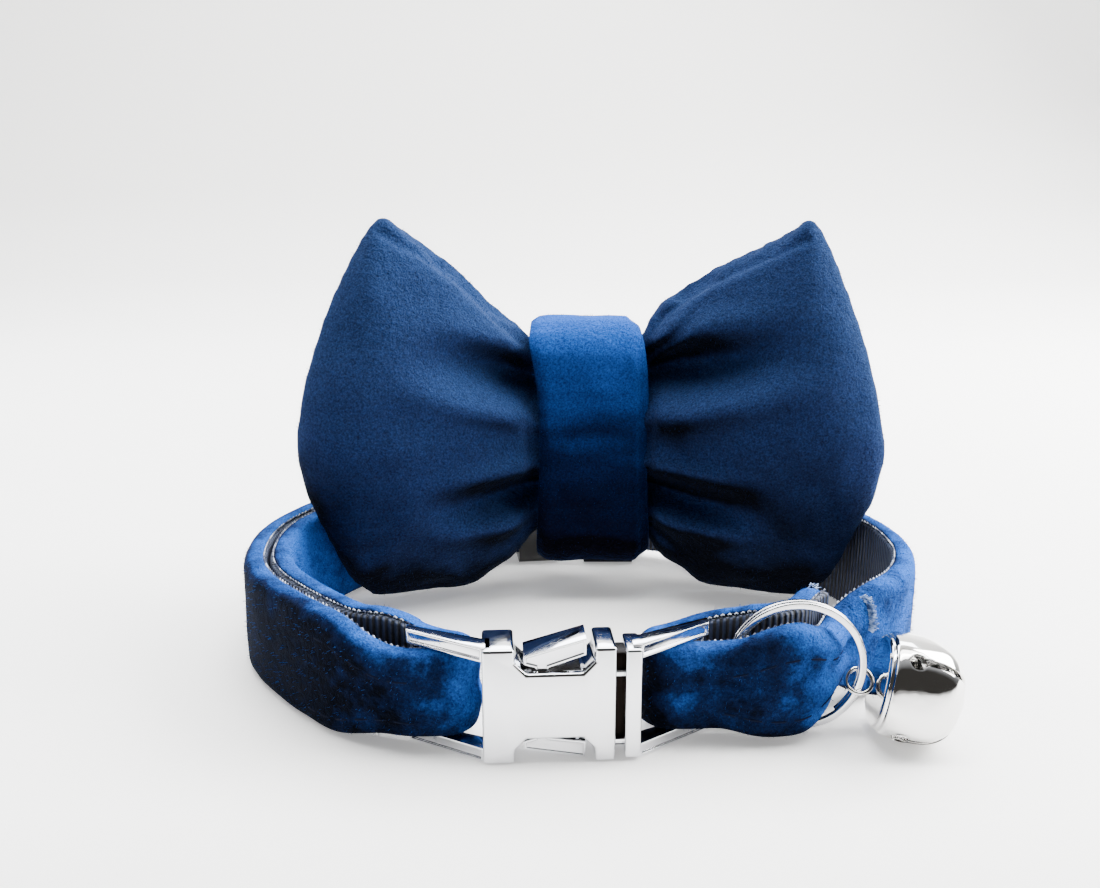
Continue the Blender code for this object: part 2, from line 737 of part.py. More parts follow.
def crease(share, depth):
    """How far the front sinks at a height share, in the two creases that run out of the knot."""
    sink = 0.0
    for place in (CREASE_UPPER, CREASE_LOWER):
        sink += math.exp(-((share - place) / CREASE_SPREAD) ** 2)
    return sink * depth


def wing_section(side, across, bottom, top, thick, depth):
    """One closed outline of a wing across X, from the bottom seam up the front and down the back."""
    centre = bow_centre()
    x = centre.x + side * across * BOW_WIDTH / 2
    beyond = max(0.0, across - KNOT_WIDTH / BOW_WIDTH) / (1.0 - KNOT_WIDTH / BOW_WIDTH)
    middle = centre.y - BOW_SWEEP * beyond ** BOW_SWEEP_POWER
    low = bottom * BOW_HEIGHT
    high = top * BOW_HEIGHT
    half = thick * BOW_THICKNESS / 2
    back_share = 1.0 + (BOW_BACK_SHARE - 1.0) * smooth_step(beyond * 6.0)
    ring = []
    for face in (-1, 1):
        for step in range(WING_SIDE_POINTS):
            share = (step + 0.35) / (WING_SIDE_POINTS - 0.3)
            height = share if face < 0 else 1.0 - share
            turn = 0.5 - 0.5 * math.cos(math.pi * height)
            swell = math.sin(math.pi * turn) ** 0.55
            z = low + (high - low) * turn
            sink = crease(turn, depth) if face < 0 else crease(turn, depth * 0.6)
            out = half if face < 0 else half * back_share
            y = middle + face * out * (swell - sink * swell)
            y += (z - centre.z) * math.tan(BOW_LEAN)
            ring.append(Vector((x, y, z)))
    return ring


def build_bow(finish):
    inside = KNOT_BULGE + KNOT_THICKNESS + 2 * GAP
    centre = bow_centre()
    core_high = KNOT_HEIGHT - 2 * inside
    core_thick = (KNOT_DEPTH - 2 * inside) / BOW_THICKNESS
    core_bottom = (centre.z - core_high / 2) / BOW_HEIGHT
    core_top = (centre.z + core_high / 2) / BOW_HEIGHT
    core_across = (KNOT_WIDTH + 2 * GAP) / BOW_WIDTH
    sections = []
    for row in reversed(WING_SECTIONS):
        sections.append(wing_section(-1, *row))
    for share in (-1.0, -0.5, 0.0, 0.5, 1.0):
        side = -1 if share < 0 else 1
        sections.append(wing_section(side, abs(share) * core_across, core_bottom, core_top,
                                     core_thick, 0.0))
    for row in WING_SECTIONS:
        sections.append(wing_section(1, *row))
    bm = bmesh.new()
    loft(bm, sections)
    return add_object("bow_wings", bm, finish, 60.0)


def rounded_band(centre, width, height, depth, thickness, corner, bulge=0.0, lean=0.0):
    """A closed band round the X axis: rings of four points, outer and inner, at each step."""
    outline = []
    for quarter in range(4):
        turn = math.pi / 2 * quarter
        sign_y = 1 if quarter in (0, 3) else -1
        sign_z = 1 if quarter in (0, 1) else -1
        for step in range(6):
            angle = turn + math.pi / 2 * step / 5
            outline.append((sign_y * (depth / 2 - corner), sign_z * (height / 2 - corner), angle))
    sections = []
    for base_y, base_z, angle in outline:
        ring = []
        for side, out in ((-1, 1.0), (1, 1.0), (1, 0.0), (-1, 0.0)):
            radius = corner if out else corner - thickness
            y = base_y + radius * math.cos(angle)
            z = base_z + radius * math.sin(angle)
            y += z * math.tan(lean)
            x = side * (width / 2 - (bulge if out else 0.0))
            ring.append(centre + Vector((x, y, z)))
        middle_y = base_y + (corner + bulge) * math.cos(angle)
        middle_z = base_z + (corner + bulge) * math.sin(angle)
        middle_y += middle_z * math.tan(lean)
        if bulge:
            ring.insert(1, centre + Vector((0.0, middle_y, middle_z)))
        sections.append(ring)
    return sections


def build_knot(finish):
    corner = KNOT_DEPTH * 0.42
    sections = rounded_band(bow_centre(), KNOT_WIDTH, KNOT_HEIGHT - 2 * KNOT_BULGE,
                            KNOT_DEPTH - 2 * KNOT_BULGE, KNOT_THICKNESS, corner, KNOT_BULGE, BOW_LEAN)
    bm = bmesh.new()
    loft(bm, sections, closed_path=True)
    return add_object("bow_knot", bm, finish, 50.0)


def band_back_at(x):
    """Outer face of the band at its back for a place across."""
    points = [point for point in band_route() if point[1] > LOOP_DEPTH / 2]
    nearest = min(points, key=lambda point: abs(point[0] - x))
    return nearest[1]


def build_elastic():
    knot = bow_centre()
    x = knot.x + ELASTIC_OFFSET
    front = knot.y + KNOT_DEPTH / 2 + GAP
    low = 0.02 * MM
    high = BACK_LIFT + BAND_WIDTH + GAP + ELASTIC_THICKNESS
    sides = [band_back_at(x - ELASTIC_WIDTH / 2), band_back_at(x + ELASTIC_WIDTH / 2)]
    back = max(sides) + 2 * GAP + ELASTIC_THICKNESS
    centre = Vector((x, (front + back) / 2, (low + high) / 2))
    sections = rounded_band(centre, ELASTIC_WIDTH, high - low, back - front, ELASTIC_THICKNESS,
                            1.5 * MM)
    bm = bmesh.new()
    loft(bm, sections, closed_path=True)
    finish = material("flat elastic", BLACK, 0.8, 0.0)
    return add_object("bow_elastic", bm, finish, 50.0)


def build_keeper():
    x = KEEPER_ACROSS
    sides = [band_back_at(x - KEEPER_LENGTH / 2), band_back_at(x + KEEPER_LENGTH / 2)]
    slope = (sides[1] - sides[0]) / KEEPER_LENGTH
    layers = 2 * BAND_THICKNESS + GAP
    depth = layers + 2 * (GAP + 0.15 * MM) + 2 * KEEPER_WALL
    height = BAND_WIDTH + 2 * GAP + 2 * KEEPER_WALL
    low = BACK_LIFT - GAP - KEEPER_WALL
    middle = (sides[0] + sides[1]) / 2 - layers / 2
    centre = Vector((0.0, 0.0, 0.0))
    sections = rounded_band(centre, KEEPER_LENGTH, height, depth, KEEPER_WALL, 1.1 * MM)
    place = Matrix.Translation(Vector((x, middle, low + height / 2)))
    place = place @ Matrix.Rotation(math.atan(slope), 4, "Z")
    bm = bmesh.new()
    loft(bm, sections, closed_path=True)
    bmesh.ops.transform(bm, matrix=place, verts=bm.verts)
    finish = material("painted steel", BLACK, 0.4, 1.0)
    return add_object("band_keeper", bm, finish, 50.0)


def centre_on_floor(pieces):
    """Put the middle of the whole object's base at the origin."""
    corners = [vertex.co for piece in pieces for vertex in piece.data.vertices]
    low = Vector(min(corner[axis] for corner in corners) for axis in range(3))
    high = Vector(max(corner[axis] for corner in corners) for axis in range(3))
    shift = Vector((-(low.x + high.x) / 2, -(low.y + high.y) / 2, -low.z))
    for piece in pieces:
        piece.data.transform(Matrix.Translation(shift))


def build():
    clear_scene()
    chrome = material("chrome plate", CHROME, 0.12, 1.0)
    wing_velvet = material("bow velvet", NAVY, 0.85, 0.0)
    knot_velvet = material("knot velvet", KNOT_BLUE, 0.8, 0.0)
    pieces = [
        build_webbing(),
        build_velvet(),
        build_socket(chrome),
        build_lever("buckle_lever_upper", chrome, True),
        build_lever("buckle_lever_lower", chrome, False),
        build_plug(chrome),
        build_ring(chrome),
        build_bell(chrome),
        build_ball(chrome),
        build_bow(wing_velvet),
        build_knot(knot_velvet),
        build_elastic(),
        build_keeper(),
    ]
    centre_on_floor(pieces)


build()
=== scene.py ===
# %% [markdown]
# A cat collar, dressed for its photograph. The solids of the model come in as a fixed frame, and
# every soft or shiny piece is then remade over them: the velvet band, its webbing, the padded bow,
# the cast buckle, the split ring and the bell. A solid is kept only where it is hidden and plain.

# %% Load the frame
import bisect
import itertools
import math
import random

import bpy
from mathutils import Matrix, Vector, noise
from mathutils.bvhtree import BVHTree


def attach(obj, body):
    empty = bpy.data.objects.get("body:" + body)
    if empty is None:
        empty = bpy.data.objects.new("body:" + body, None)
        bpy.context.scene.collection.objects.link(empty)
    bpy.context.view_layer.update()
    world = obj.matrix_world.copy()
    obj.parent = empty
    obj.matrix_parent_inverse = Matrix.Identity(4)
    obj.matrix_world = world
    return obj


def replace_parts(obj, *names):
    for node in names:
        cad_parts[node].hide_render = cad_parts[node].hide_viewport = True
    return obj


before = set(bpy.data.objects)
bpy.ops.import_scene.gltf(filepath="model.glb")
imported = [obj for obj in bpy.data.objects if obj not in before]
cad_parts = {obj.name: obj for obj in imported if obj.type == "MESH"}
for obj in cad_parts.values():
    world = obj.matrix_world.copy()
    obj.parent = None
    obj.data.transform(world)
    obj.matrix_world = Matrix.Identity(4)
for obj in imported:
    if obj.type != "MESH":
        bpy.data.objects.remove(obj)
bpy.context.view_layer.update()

print("nodes:", sorted(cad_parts))

# %% [markdown]
# All sizes are real ones in metres. The loop was drawn from its front middle, so one shift moves
# every place that was measured from there into the frame of the solids.

# %% Units, place and selection
MM = 0.001
GAP = 0.3 * MM
LOOP_START = Vector((-0.016 * MM, -32.975 * MM, 0.0))


def deselect_all():
    if bpy.context.object and bpy.context.object.mode != "OBJECT":
        bpy.ops.object.mode_set(mode="OBJECT")
    bpy.ops.object.select_all(action="DESELECT")


def pick(piece):
    deselect_all()
    piece.select_set(True)
    bpy.context.view_layer.objects.active = piece


def set_all(thing, settings):
    for name, value in settings.items():
        setattr(thing, name, value)


def apply_modifier(piece, modifier):
    pick(piece)
    bpy.ops.object.modifier_apply(modifier=modifier.name)


def modify(piece, kind, **settings):
    """Add a modifier, set it and apply it."""
    modifier = piece.modifiers.new(kind.lower(), kind)
    set_all(modifier, settings)
    apply_modifier(piece, modifier)


def join(first, *others):
    deselect_all()
    for piece in (first, *others):
        piece.select_set(True)
    bpy.context.view_layer.objects.active = first
    bpy.ops.object.join()
    return first


def ease(value):
    value = min(1.0, max(0.0, value))
    return value * value * (3.0 - 2.0 * value)


# %% [markdown]
# Many pieces here are grids: rows and columns of points that a table or a formula lays out. These
# helpers make a grid, close it, weld it and sink a panel into a face, so that the later cells only
# have to say where the points go.

# %% Mesh helpers
MERGE = 0.01 * MM


def grid(name, columns, rows):
    """A flat grid with so many faces each way; its points count along the columns first."""
    deselect_all()
    bpy.ops.mesh.primitive_grid_add(x_subdivisions=columns, y_subdivisions=rows, size=1.0)
    made = bpy.context.object
    made.name = name
    return made


def weld(piece, distance=MERGE, close=False):
    """Merge points that lie on each other, close open ends if asked, point the faces outwards."""
    pick(piece)
    bpy.ops.object.mode_set(mode="EDIT")
    bpy.ops.mesh.select_all(action="SELECT")
    bpy.ops.mesh.remove_doubles(threshold=distance)
    if close:
        bpy.ops.mesh.select_all(action="DESELECT")
        bpy.ops.mesh.select_non_manifold(extend=False, use_wire=False, use_multi_face=False,
                                         use_non_contiguous=False, use_verts=False)
        bpy.ops.mesh.fill_holes(sides=0)
        bpy.ops.mesh.select_all(action="SELECT")
    bpy.ops.mesh.normals_make_consistent(inside=False)
    bpy.ops.object.mode_set(mode="OBJECT")


def smooth(piece, angle=None):
    """Shade a piece smooth; with an angle, edges sharper than it stay crisp."""
    pick(piece)
    if angle is None:
        bpy.ops.object.shade_smooth()
    else:
        bpy.ops.object.shade_smooth_by_angle(angle=math.radians(angle))


def sink_panel(piece, facing, rim, slope, depth):
    """Sink a panel into each face that looks along facing, behind a flat rim and a short slope."""
    pick(piece)
    bpy.ops.object.mode_set(mode="EDIT")
    bpy.ops.mesh.select_all(action="DESELECT")
    bpy.ops.object.mode_set(mode="OBJECT")
    for face in piece.data.polygons:
        face.select = face.normal.dot(facing) > 0.97
    bpy.ops.object.mode_set(mode="EDIT")
    bpy.ops.mesh.inset(thickness=rim, depth=0.0)
    bpy.ops.mesh.inset(thickness=slope, depth=-depth)
    bpy.ops.object.mode_set(mode="OBJECT")


print("welds closer than", MERGE / MM, "mm")

# %% [markdown]
# The collar was photographed a little from above with an ordinary 35 mm view, close to it. Close
# cameras exaggerate depth, so the place matters as much as the angle. It was worked out from where
# the band's lower edges meet the surface.

# %% Camera
CAMERA_PLACE = Vector((-3.87 * MM, -139.98 * MM, 62.7 * MM))
CAMERA_DOWN = math.radians(14.28)
bpy.ops.object.camera_add(location=CAMERA_PLACE, rotation=(math.pi / 2 - CAMERA_DOWN, 0.0, 0.0))
camera = bpy.context.object
camera.data.lens = 35.0
camera.data.sensor_width = 36.0
camera.data.clip_start = 0.005
camera.data.dof.use_dof = False
bpy.context.scene.camera = camera
print("camera looks down by", round(math.degrees(CAMERA_DOWN), 2), "degrees")

# %% [markdown]
# Colours are read as sRGB hex, as a picture editor shows them, and turned to the linear values that
# a renderer needs. One small function adds a node, with its links, constants and ramp colours, so
# each material below reads as a short list of what its surface does.

# %% Colour and node helpers


def linear(code):
    values = []
    for start in (1, 3, 5):
        share = int(code[start:start + 2], 16) / 255
        values.append(share / 12.92 if share <= 0.04045 else ((share + 0.055) / 1.055) ** 2.4)
    return (*values, 1.0)


def feed(tree, node, inputs):
    """Link each named input to a socket, or set it to a constant."""
    for name, value in inputs.items():
        if isinstance(value, bpy.types.NodeSocket):
            tree.links.new(value, node.inputs[name])
        else:
            node.inputs[name].default_value = value


def add_node(tree, kind, inputs=None, stops=(), **settings):
    """stops are the places and colours of a ramp, from its low end."""
    made = tree.nodes.new(kind)
    set_all(made, settings)
    feed(tree, made, inputs or {})
    for index, (position, code) in enumerate(stops):
        elements = made.color_ramp.elements
        if index == len(elements):
            elements.new(position)
        elements[index].position = position
        elements[index].color = linear(code)
    return made


def new_material(name):
    made = bpy.data.materials.new(name)
    made.use_nodes = True
    return made, made.node_tree, made.node_tree.nodes["Principled BSDF"]


def finish_with(piece, material):
    piece.data.materials.clear()
    piece.data.materials.append(material)


def hand_over(piece, finish, node=None):
    """Give a piece its finish, slot and body, and hide the solid that it stands in for."""
    finish_with(piece, finish)
    if node:
        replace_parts(piece, node)
    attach(piece, "root")


print("full red is", linear("#FF0000")[:3])

# %% [markdown]
# The collar stands on a sheet of white paper that sweeps up behind it, so no horizon shows. A wide
# soft window at the back on the right is the key: it lights every rim from behind and leaves the
# faces that look at the camera dark, which is how the velvet was photographed. Chrome shows nothing
# but its surroundings, so the room in front of the paper is dim and the room behind it bright.

# %% Paper, lights and world
PAPER_WIDE = 4.0
PAPER_LONG = 3.6
PAPER_IN_FRONT = 1.4
SWEEP_START = 0.32
SWEEP_RADIUS = 0.30
SWEEP_ROWS = 40
floor = grid("floor", 2, SWEEP_ROWS)
for vertex in floor.data.vertices:
    run = (vertex.co.y + 0.5) * PAPER_LONG - PAPER_IN_FRONT
    bend = min(math.pi / 2, max(0.0, run - SWEEP_START) / SWEEP_RADIUS)
    climb = max(0.0, run - SWEEP_START - SWEEP_RADIUS * math.pi / 2)
    back = min(run, SWEEP_START) + SWEEP_RADIUS * math.sin(bend)
    vertex.co = (vertex.co.x * PAPER_WIDE, back, SWEEP_RADIUS * (1.0 - math.cos(bend)) + climb)
smooth(floor)
# Painted shade and glow: the paper's colour is a grey painted shade in front of the collar that
# turns white behind it, and the same ramp drives an emission glow, though the paper is no lamp.
paper, tree, shader = new_material("white paper with painted shade and glow")
place = add_node(tree, "ShaderNodeTexCoord")
depths = add_node(tree, "ShaderNodeSeparateXYZ", {"Vector": place.outputs["Object"]})
fade = add_node(tree, "ShaderNodeMapRange", {
    "Value": depths.outputs["Y"], "From Min": -0.15, "From Max": -0.045})
shade = add_node(tree, "ShaderNodeValToRGB", {"Fac": fade.outputs["Result"]},
                 stops=((0.0, "#6A6968"), (1.0, "#F6F5F3")))
glow = add_node(tree, "ShaderNodeMath", {0: fade.outputs["Result"], 1: 0.36},
                operation="MULTIPLY")
feed(tree, shader, {
    "Base Color": shade.outputs["Color"], "Roughness": 0.75,
    "Emission Color": linear("#FFFFFF"), "Emission Strength": glow.outputs[0]})
finish_with(floor, paper)

LIGHTS = [
    # name, place, aimed at, wide, high, watts, colour
    ("window", (0.36, 0.12, 0.28), (0.0, 0.0, 0.03), 0.36, 0.36, 10.5, "#FFFFFF"),
    ("side", (-0.42, 0.10, 0.26), (0.0, 0.0, 0.03), 0.20, 0.24, 0.6, "#F6F9FF"),
    ("back strip", (-0.05, 0.30, 0.30), (0.0, 0.0, 0.03), 0.60, 0.12, 3.0, "#F2F7FF"),
    ("top", (0.0, 0.06, 0.60), (0.0, 0.0, 0.0), 0.50, 0.36, 5.6, "#FFFFFF"),
    ("paper wash", (0.0, 0.05, 0.75), (0.0, 0.62, 0.25), 0.90, 0.20, 9.0, "#FFFFFF"),
]
for name, place, aim, wide, high, watts, colour in LIGHTS:
    turned = (Vector(aim) - Vector(place)).to_track_quat("-Z", "Y").to_euler()
    bpy.ops.object.light_add(type="AREA", location=place, rotation=turned)
    lamp = bpy.context.object
    lamp.name = name
    set_all(lamp.data, {"shape": "RECTANGLE", "size": wide, "size_y": high, "energy": watts,
                        "color": linear(colour)[:3]})

world = bpy.data.worlds.new("studio")
bpy.context.scene.world = world
world.use_nodes = True
tree = world.node_tree
direction = add_node(tree, "ShaderNodeTexCoord")
toward = add_node(tree, "ShaderNodeVectorMath", {
    0: direction.outputs["Generated"], 1: (0.1, 0.62, 0.55)}, operation="DOT_PRODUCT")
ramp = add_node(tree, "ShaderNodeValToRGB", {"Fac": toward.outputs["Value"]},
                stops=((0.0, "#4C4A48"), (0.45, "#EEF1F6")))
feed(tree, tree.nodes["Background"], {"Color": ramp.outputs["Color"], "Strength": 0.75})
print("lights:", len(LIGHTS))

# %% [markdown]
# Velvet is a woven ground with a dense short pile standing on it. Looked straight into, the pile
# swallows light and is nearly black. Light and shade are painted into its colour here: cloth that
# faces a given direction, up or up and to the right towards the key lights, is painted bright,
# cloth that faces away is painted dark, and a painted shade can darken the lower part. A sheen
# lights the tips along every soft bend, and handling has crushed the pile in patches.

# %% Crushed velvet


def velvet(name, painted_light_dir, colours, tint, sheen, patch_mm, patchy, painted_bottom_shade=0.0):
    """Its colours run from painted shade to painted light; the last argument paints shade over the
    lower part.
    """
    made, tree, shader = new_material(name)
    place = add_node(tree, "ShaderNodeTexCoord")
    patches = add_node(tree, "ShaderNodeTexNoise", {
        "Vector": place.outputs["Object"], "Scale": 1000 / patch_mm, "Detail": 5.0,
        "Roughness": 0.62})
    pile = add_node(tree, "ShaderNodeTexNoise", {
        "Vector": place.outputs["Object"], "Scale": 3600.0, "Detail": 3.0, "Roughness": 0.75})
    crushed = add_node(tree, "ShaderNodeTexNoise", {
        "Vector": place.outputs["Object"], "Scale": 620.0, "Detail": 3.0, "Roughness": 0.55,
        "Distortion": 0.8})
    facing = add_node(tree, "ShaderNodeNewGeometry")
    toward_painted_light = add_node(tree, "ShaderNodeVectorMath", {0: facing.outputs["Normal"], 1: painted_light_dir},
                   operation="DOT_PRODUCT")
    # Painted light and shade: lean is the share by which a face turns towards the painted light
    # direction; it picks the bright or the dark end of the ramp.
    lean = add_node(tree, "ShaderNodeMapRange", {
        "Value": toward_painted_light.outputs["Value"], "From Min": -0.75, "From Max": 0.95})
    spread = add_node(tree, "ShaderNodeMapRange", {
        "Value": patches.outputs["Fac"], "From Min": 0.3, "From Max": 0.7,
        "To Min": -patchy, "To Max": patchy})
    side = add_node(tree, "ShaderNodeMath", {
        0: lean.outputs["Result"], 1: spread.outputs["Result"]}, operation="ADD")
    # Painted shade: the colour is darker towards the bottom and lighter towards the top.
    heights = add_node(tree, "ShaderNodeSeparateXYZ", {"Vector": place.outputs["Object"]})
    low = add_node(tree, "ShaderNodeMapRange", {
        "Value": heights.outputs["Z"], "From Min": 6 * MM, "From Max": 42 * MM,
        "To Min": -painted_bottom_shade, "To Max": painted_bottom_shade})
    side = add_node(tree, "ShaderNodeMath", {0: side.outputs[0], 1: low.outputs["Result"]},
                    operation="ADD")
    shade = add_node(tree, "ShaderNodeValToRGB", {"Fac": side.outputs[0]},
                     stops=zip((0.12, 0.46, 0.92), colours))
    grain = add_node(tree, "ShaderNodeMapRange", {
        "Value": pile.outputs["Fac"], "From Min": 0.3, "From Max": 0.7,
        "To Min": 0.35, "To Max": 1.65})
    colour = add_node(tree, "ShaderNodeMix", {
        "Factor": 1.0, 6: shade.outputs["Color"], 7: grain.outputs["Result"]},
        data_type="RGBA", blend_type="MULTIPLY")
    soft = add_node(tree, "ShaderNodeBump", {
        "Height": crushed.outputs["Fac"], "Strength": 0.55, "Distance": 0.9 * MM})
    fine = add_node(tree, "ShaderNodeBump", {
        "Height": pile.outputs["Fac"], "Strength": 0.8, "Distance": 0.3 * MM,
        "Normal": soft.outputs["Normal"]})
    feed(tree, shader, {
        "Base Color": colour.outputs[2], "Normal": fine.outputs["Normal"], "Roughness": 0.85,
        "Specular IOR Level": 0.03, "Sheen Weight": sheen, "Sheen Roughness": 0.30,
        "Sheen Tint": linear(tint)})
    return made


# Directions of the painted light. The band, bow and knot are one velvet; these copies paint
# different light and shade into their ramps, and differ in sheen and patches too.
PAINTED_LIGHT_UP = (0.24, 0.00, 0.92)
PAINTED_LIGHT_UP_AND_RIGHT = (0.80, 0.10, 0.50)
band_velvet = velvet(
    "crushed navy velvet ribbon", PAINTED_LIGHT_UP_AND_RIGHT, ("#01030B", "#0B1A3C", "#1F519F"),
    tint="#3468C0", sheen=0.08, patch_mm=4.5, patchy=0.27)
bow_velvet = velvet(
    "padded navy velvet", PAINTED_LIGHT_UP, ("#03050C", "#1B2A4E", "#1D3156"),
    tint="#4868A4", sheen=0.11, patch_mm=11.0, patchy=0.09, painted_bottom_shade=0.12)
knot_velvet = velvet(
    "stretched navy velvet", PAINTED_LIGHT_UP, ("#010108", "#0A1638", "#1C4C9A"),
    tint="#3468C0", sheen=0.20, patch_mm=9.0, patchy=0.04, painted_bottom_shade=0.40)
print("velvets:", band_velvet.name, "/", bow_velvet.name, "/", knot_velvet.name)

# %% [markdown]
# The tape under the velvet is ribbed nylon webbing: a rib each 0.73 mm across the band, nearly
# black, with small bright glints where the yarns turn over its edge; the glints are the yarn's real
# gloss together with pale patches painted into its colour. The pattern follows the band on the
# piece's own UV map, which is laid out in millimetres.

# %% Ribbed webbing
RIB_PITCH = 0.73
webbing_finish, tree, shader = new_material("ribbed nylon webbing")
layout = add_node(tree, "ShaderNodeUVMap", uv_map="UVMap")
along = add_node(tree, "ShaderNodeSeparateXYZ", {"Vector": layout.outputs["UV"]})
rib = add_node(tree, "ShaderNodeMath", {0: along.outputs["X"], 1: 2 * math.pi / RIB_PITCH},
               operation="MULTIPLY")
rib = add_node(tree, "ShaderNodeMath", {0: rib.outputs[0]}, operation="SINE")
yarn = add_node(tree, "ShaderNodeTexNoise", {
    "Vector": layout.outputs["UV"], "Scale": 3.2, "Detail": 2.0})
mixed = add_node(tree, "ShaderNodeMath", {0: rib.outputs[0], 1: yarn.outputs["Fac"]},
                 operation="ADD")
shade = add_node(tree, "ShaderNodeValToRGB", {"Fac": mixed.outputs[0]},
                 stops=((0.1, "#06080F"), (1.0, "#26334F")))
raised = add_node(tree, "ShaderNodeBump", {
    "Height": mixed.outputs[0], "Strength": 0.8, "Distance": 0.12 * MM})
feed(tree, shader, {"Base Color": shade.outputs["Color"], "Normal": raised.outputs["Normal"],
                    "Roughness": 0.55})
print("a rib each", RIB_PITCH, "mm")

# %% [markdown]
# The metal is cast zinc with a bright chrome plate. A plate this small is not a perfect mirror: it
# keeps the faint waves of the casting and a haze of handling marks.

# %% Chrome plate


def chrome(name, colour, low, high, wave_mm, wave):
    """low and high are the least and the most roughness; wave is the height of the waves."""
    made, tree, shader = new_material(name)
    place = add_node(tree, "ShaderNodeTexCoord")
    haze = add_node(tree, "ShaderNodeTexNoise", {
        "Vector": place.outputs["Object"], "Scale": 420.0, "Detail": 5.0, "Roughness": 0.65})
    rough = add_node(tree, "ShaderNodeMapRange", {
        "Value": haze.outputs["Fac"], "From Min": 0.35, "From Max": 0.7,
        "To Min": low, "To Max": high})
    waves = add_node(tree, "ShaderNodeTexNoise", {
        "Vector": place.outputs["Object"], "Scale": 1000 / wave_mm, "Detail": 2.0})
    uneven = add_node(tree, "ShaderNodeBump", {
        "Height": waves.outputs["Fac"], "Strength": 0.5, "Distance": wave})
    feed(tree, shader, {
        "Base Color": linear(colour), "Metallic": 1.0, "Roughness": rough.outputs["Result"],
        "Normal": uneven.outputs["Normal"]})
    return made


buckle_chrome = chrome("chrome plated zinc casting", "#DEDFE2",
                       low=0.05, high=0.16, wave_mm=3.0, wave=0.05 * MM)
bell_chrome = chrome("chrome plated pressed brass", "#E2E1DF",
                     low=0.03, high=0.12, wave_mm=2.6, wave=0.10 * MM)
# Painted shade: the tongue is made near black so that the gap between the buckle's halves reads as
# shadowed.
tongue_painted_shade_finish = chrome("near-black tongue, painted shade", "#120E0C",
                       low=0.35, high=0.55, wave_mm=2.0, wave=0.03 * MM)
ring_chrome = chrome("nickel plated spring steel", "#D6D6D8",
                     low=0.10, high=0.22, wave_mm=1.5, wave=0.03 * MM)
print("metals made")

# %% [markdown]
# Two pieces behind the knot are hardly seen: a flat woven elastic and a painted steel keeper. Their
# solids have the right shape, so they only get a finish, and so does the ball in the bell. Threads
# and yarns are too thin for a pattern, and a fine relief or a mottle of two colours is enough.

# %% Elastic, keeper, threads and yarns


def grained(name, colour, rough, specular, kind, pattern, strength, distance, **settings):
    """One colour under a fine relief, on Object coordinates."""
    made, tree, shader = new_material(name)
    place = add_node(tree, "ShaderNodeTexCoord")
    relief = add_node(tree, kind, {"Vector": place.outputs["Object"], **pattern}, **settings)
    raised = add_node(tree, "ShaderNodeBump", {
        "Height": relief.outputs["Fac"], "Strength": strength, "Distance": distance})
    feed(tree, shader, {"Base Color": linear(colour), "Normal": raised.outputs["Normal"],
                        "Roughness": rough, "Specular IOR Level": specular})
    return made


def mottled(name, scale, stops, rough):
    """Two tones, each a place on the ramp and a colour, mixed by a fine noise."""
    made, tree, shader = new_material(name)
    place = add_node(tree, "ShaderNodeTexCoord")
    mottle = add_node(tree, "ShaderNodeTexNoise", {
        "Vector": place.outputs["Object"], "Scale": scale})
    shade = add_node(tree, "ShaderNodeValToRGB", {"Fac": mottle.outputs["Fac"]}, stops)
    feed(tree, shader, {"Base Color": shade.outputs["Color"], "Roughness": rough})
    return made


elastic_finish = grained(
    "flat woven elastic", "#08090C", 0.75, 0.1, "ShaderNodeTexWave",
    {"Scale": 900.0, "Distortion": 0.6}, 0.6, 0.1 * MM, bands_direction="X")
keeper_finish = grained(
    "black painted steel", "#060607", 0.32, 0.5, "ShaderNodeTexNoise",
    {"Scale": 2600.0}, 0.4, 0.05 * MM)
thread_finish = grained(
    "twisted polyester thread", "#060E22", 0.9, 0.1, "ShaderNodeTexNoise",
    {"Scale": 6000.0}, 0.6, 0.05 * MM)
edge_thread_finish = mottled(
    "pale edge thread", 700.0, ((0.42, "#1C2C50"), (0.62, "#C4CCDC")), 0.5)
# Painted highlight: the pale tone of this mottle stands in for glints on the yarn; its gloss is
# real.
yarn_painted_glint_finish = mottled(
    "glossy selvedge yarn with painted glints", 3200.0, ((0.40, "#090D16"), (0.66, "#5A6680")), 0.35)
frayed_finish = mottled(
    "frayed velvet ground", 1500.0, ((0.35, "#27497F"), (0.65, "#9DB6DC")), 0.8)

for node, finish in (("bow_elastic", elastic_finish), ("band_keeper", keeper_finish),
                     ("bell_ball", ring_chrome)):
    finish_with(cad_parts[node], finish)
print("finished nodes: bow_elastic, band_keeper, bell_ball")

# %% [markdown]
# The band is one strip. It starts as a tail inside the right side, folds round the plug's bar, is
# squeezed through the split ring, runs right round the neck, folds round the socket's bar and comes
# back inside to behind the knot. A table of places and widths, joined by a smooth curve, is easier
# to correct against a photograph than a hand-drawn curve object.

# %% Sizes of the band and the buckle
LOOP_WIDTH = 89.1 * MM
LOOP_DEPTH = 67.2 * MM
BAND_WIDTH = 14.5 * MM
WEBBING_THICKNESS = 1.1 * MM
VELVET_THICKNESS = 1.6 * MM
BAND_THICKNESS = WEBBING_THICKNESS + GAP + VELVET_THICKNESS
BACK_LIFT = 1.3 * MM
RING_RADIUS = 8.0 * MM
BUCKLE_YAW = math.radians(3.5)
BUCKLE_PLACE = Vector((-2.5 * MM, -2.2 * MM, 0.0)) + LOOP_START
BUCKLE_HEIGHT = 13.5 * MM
SLOT_HEIGHT = 10.2 * MM
SOCKET_LEFT = -8.65 * MM
SOCKET_RIGHT = 5.85 * MM
PLUG_LEFT = 6.85 * MM
PLUG_RIGHT = 8.65 * MM
ARM_REACH = 8.4 * MM
ARM_SWEEP = 5.4 * MM
ARM_SETBACK = 0.7 * MM
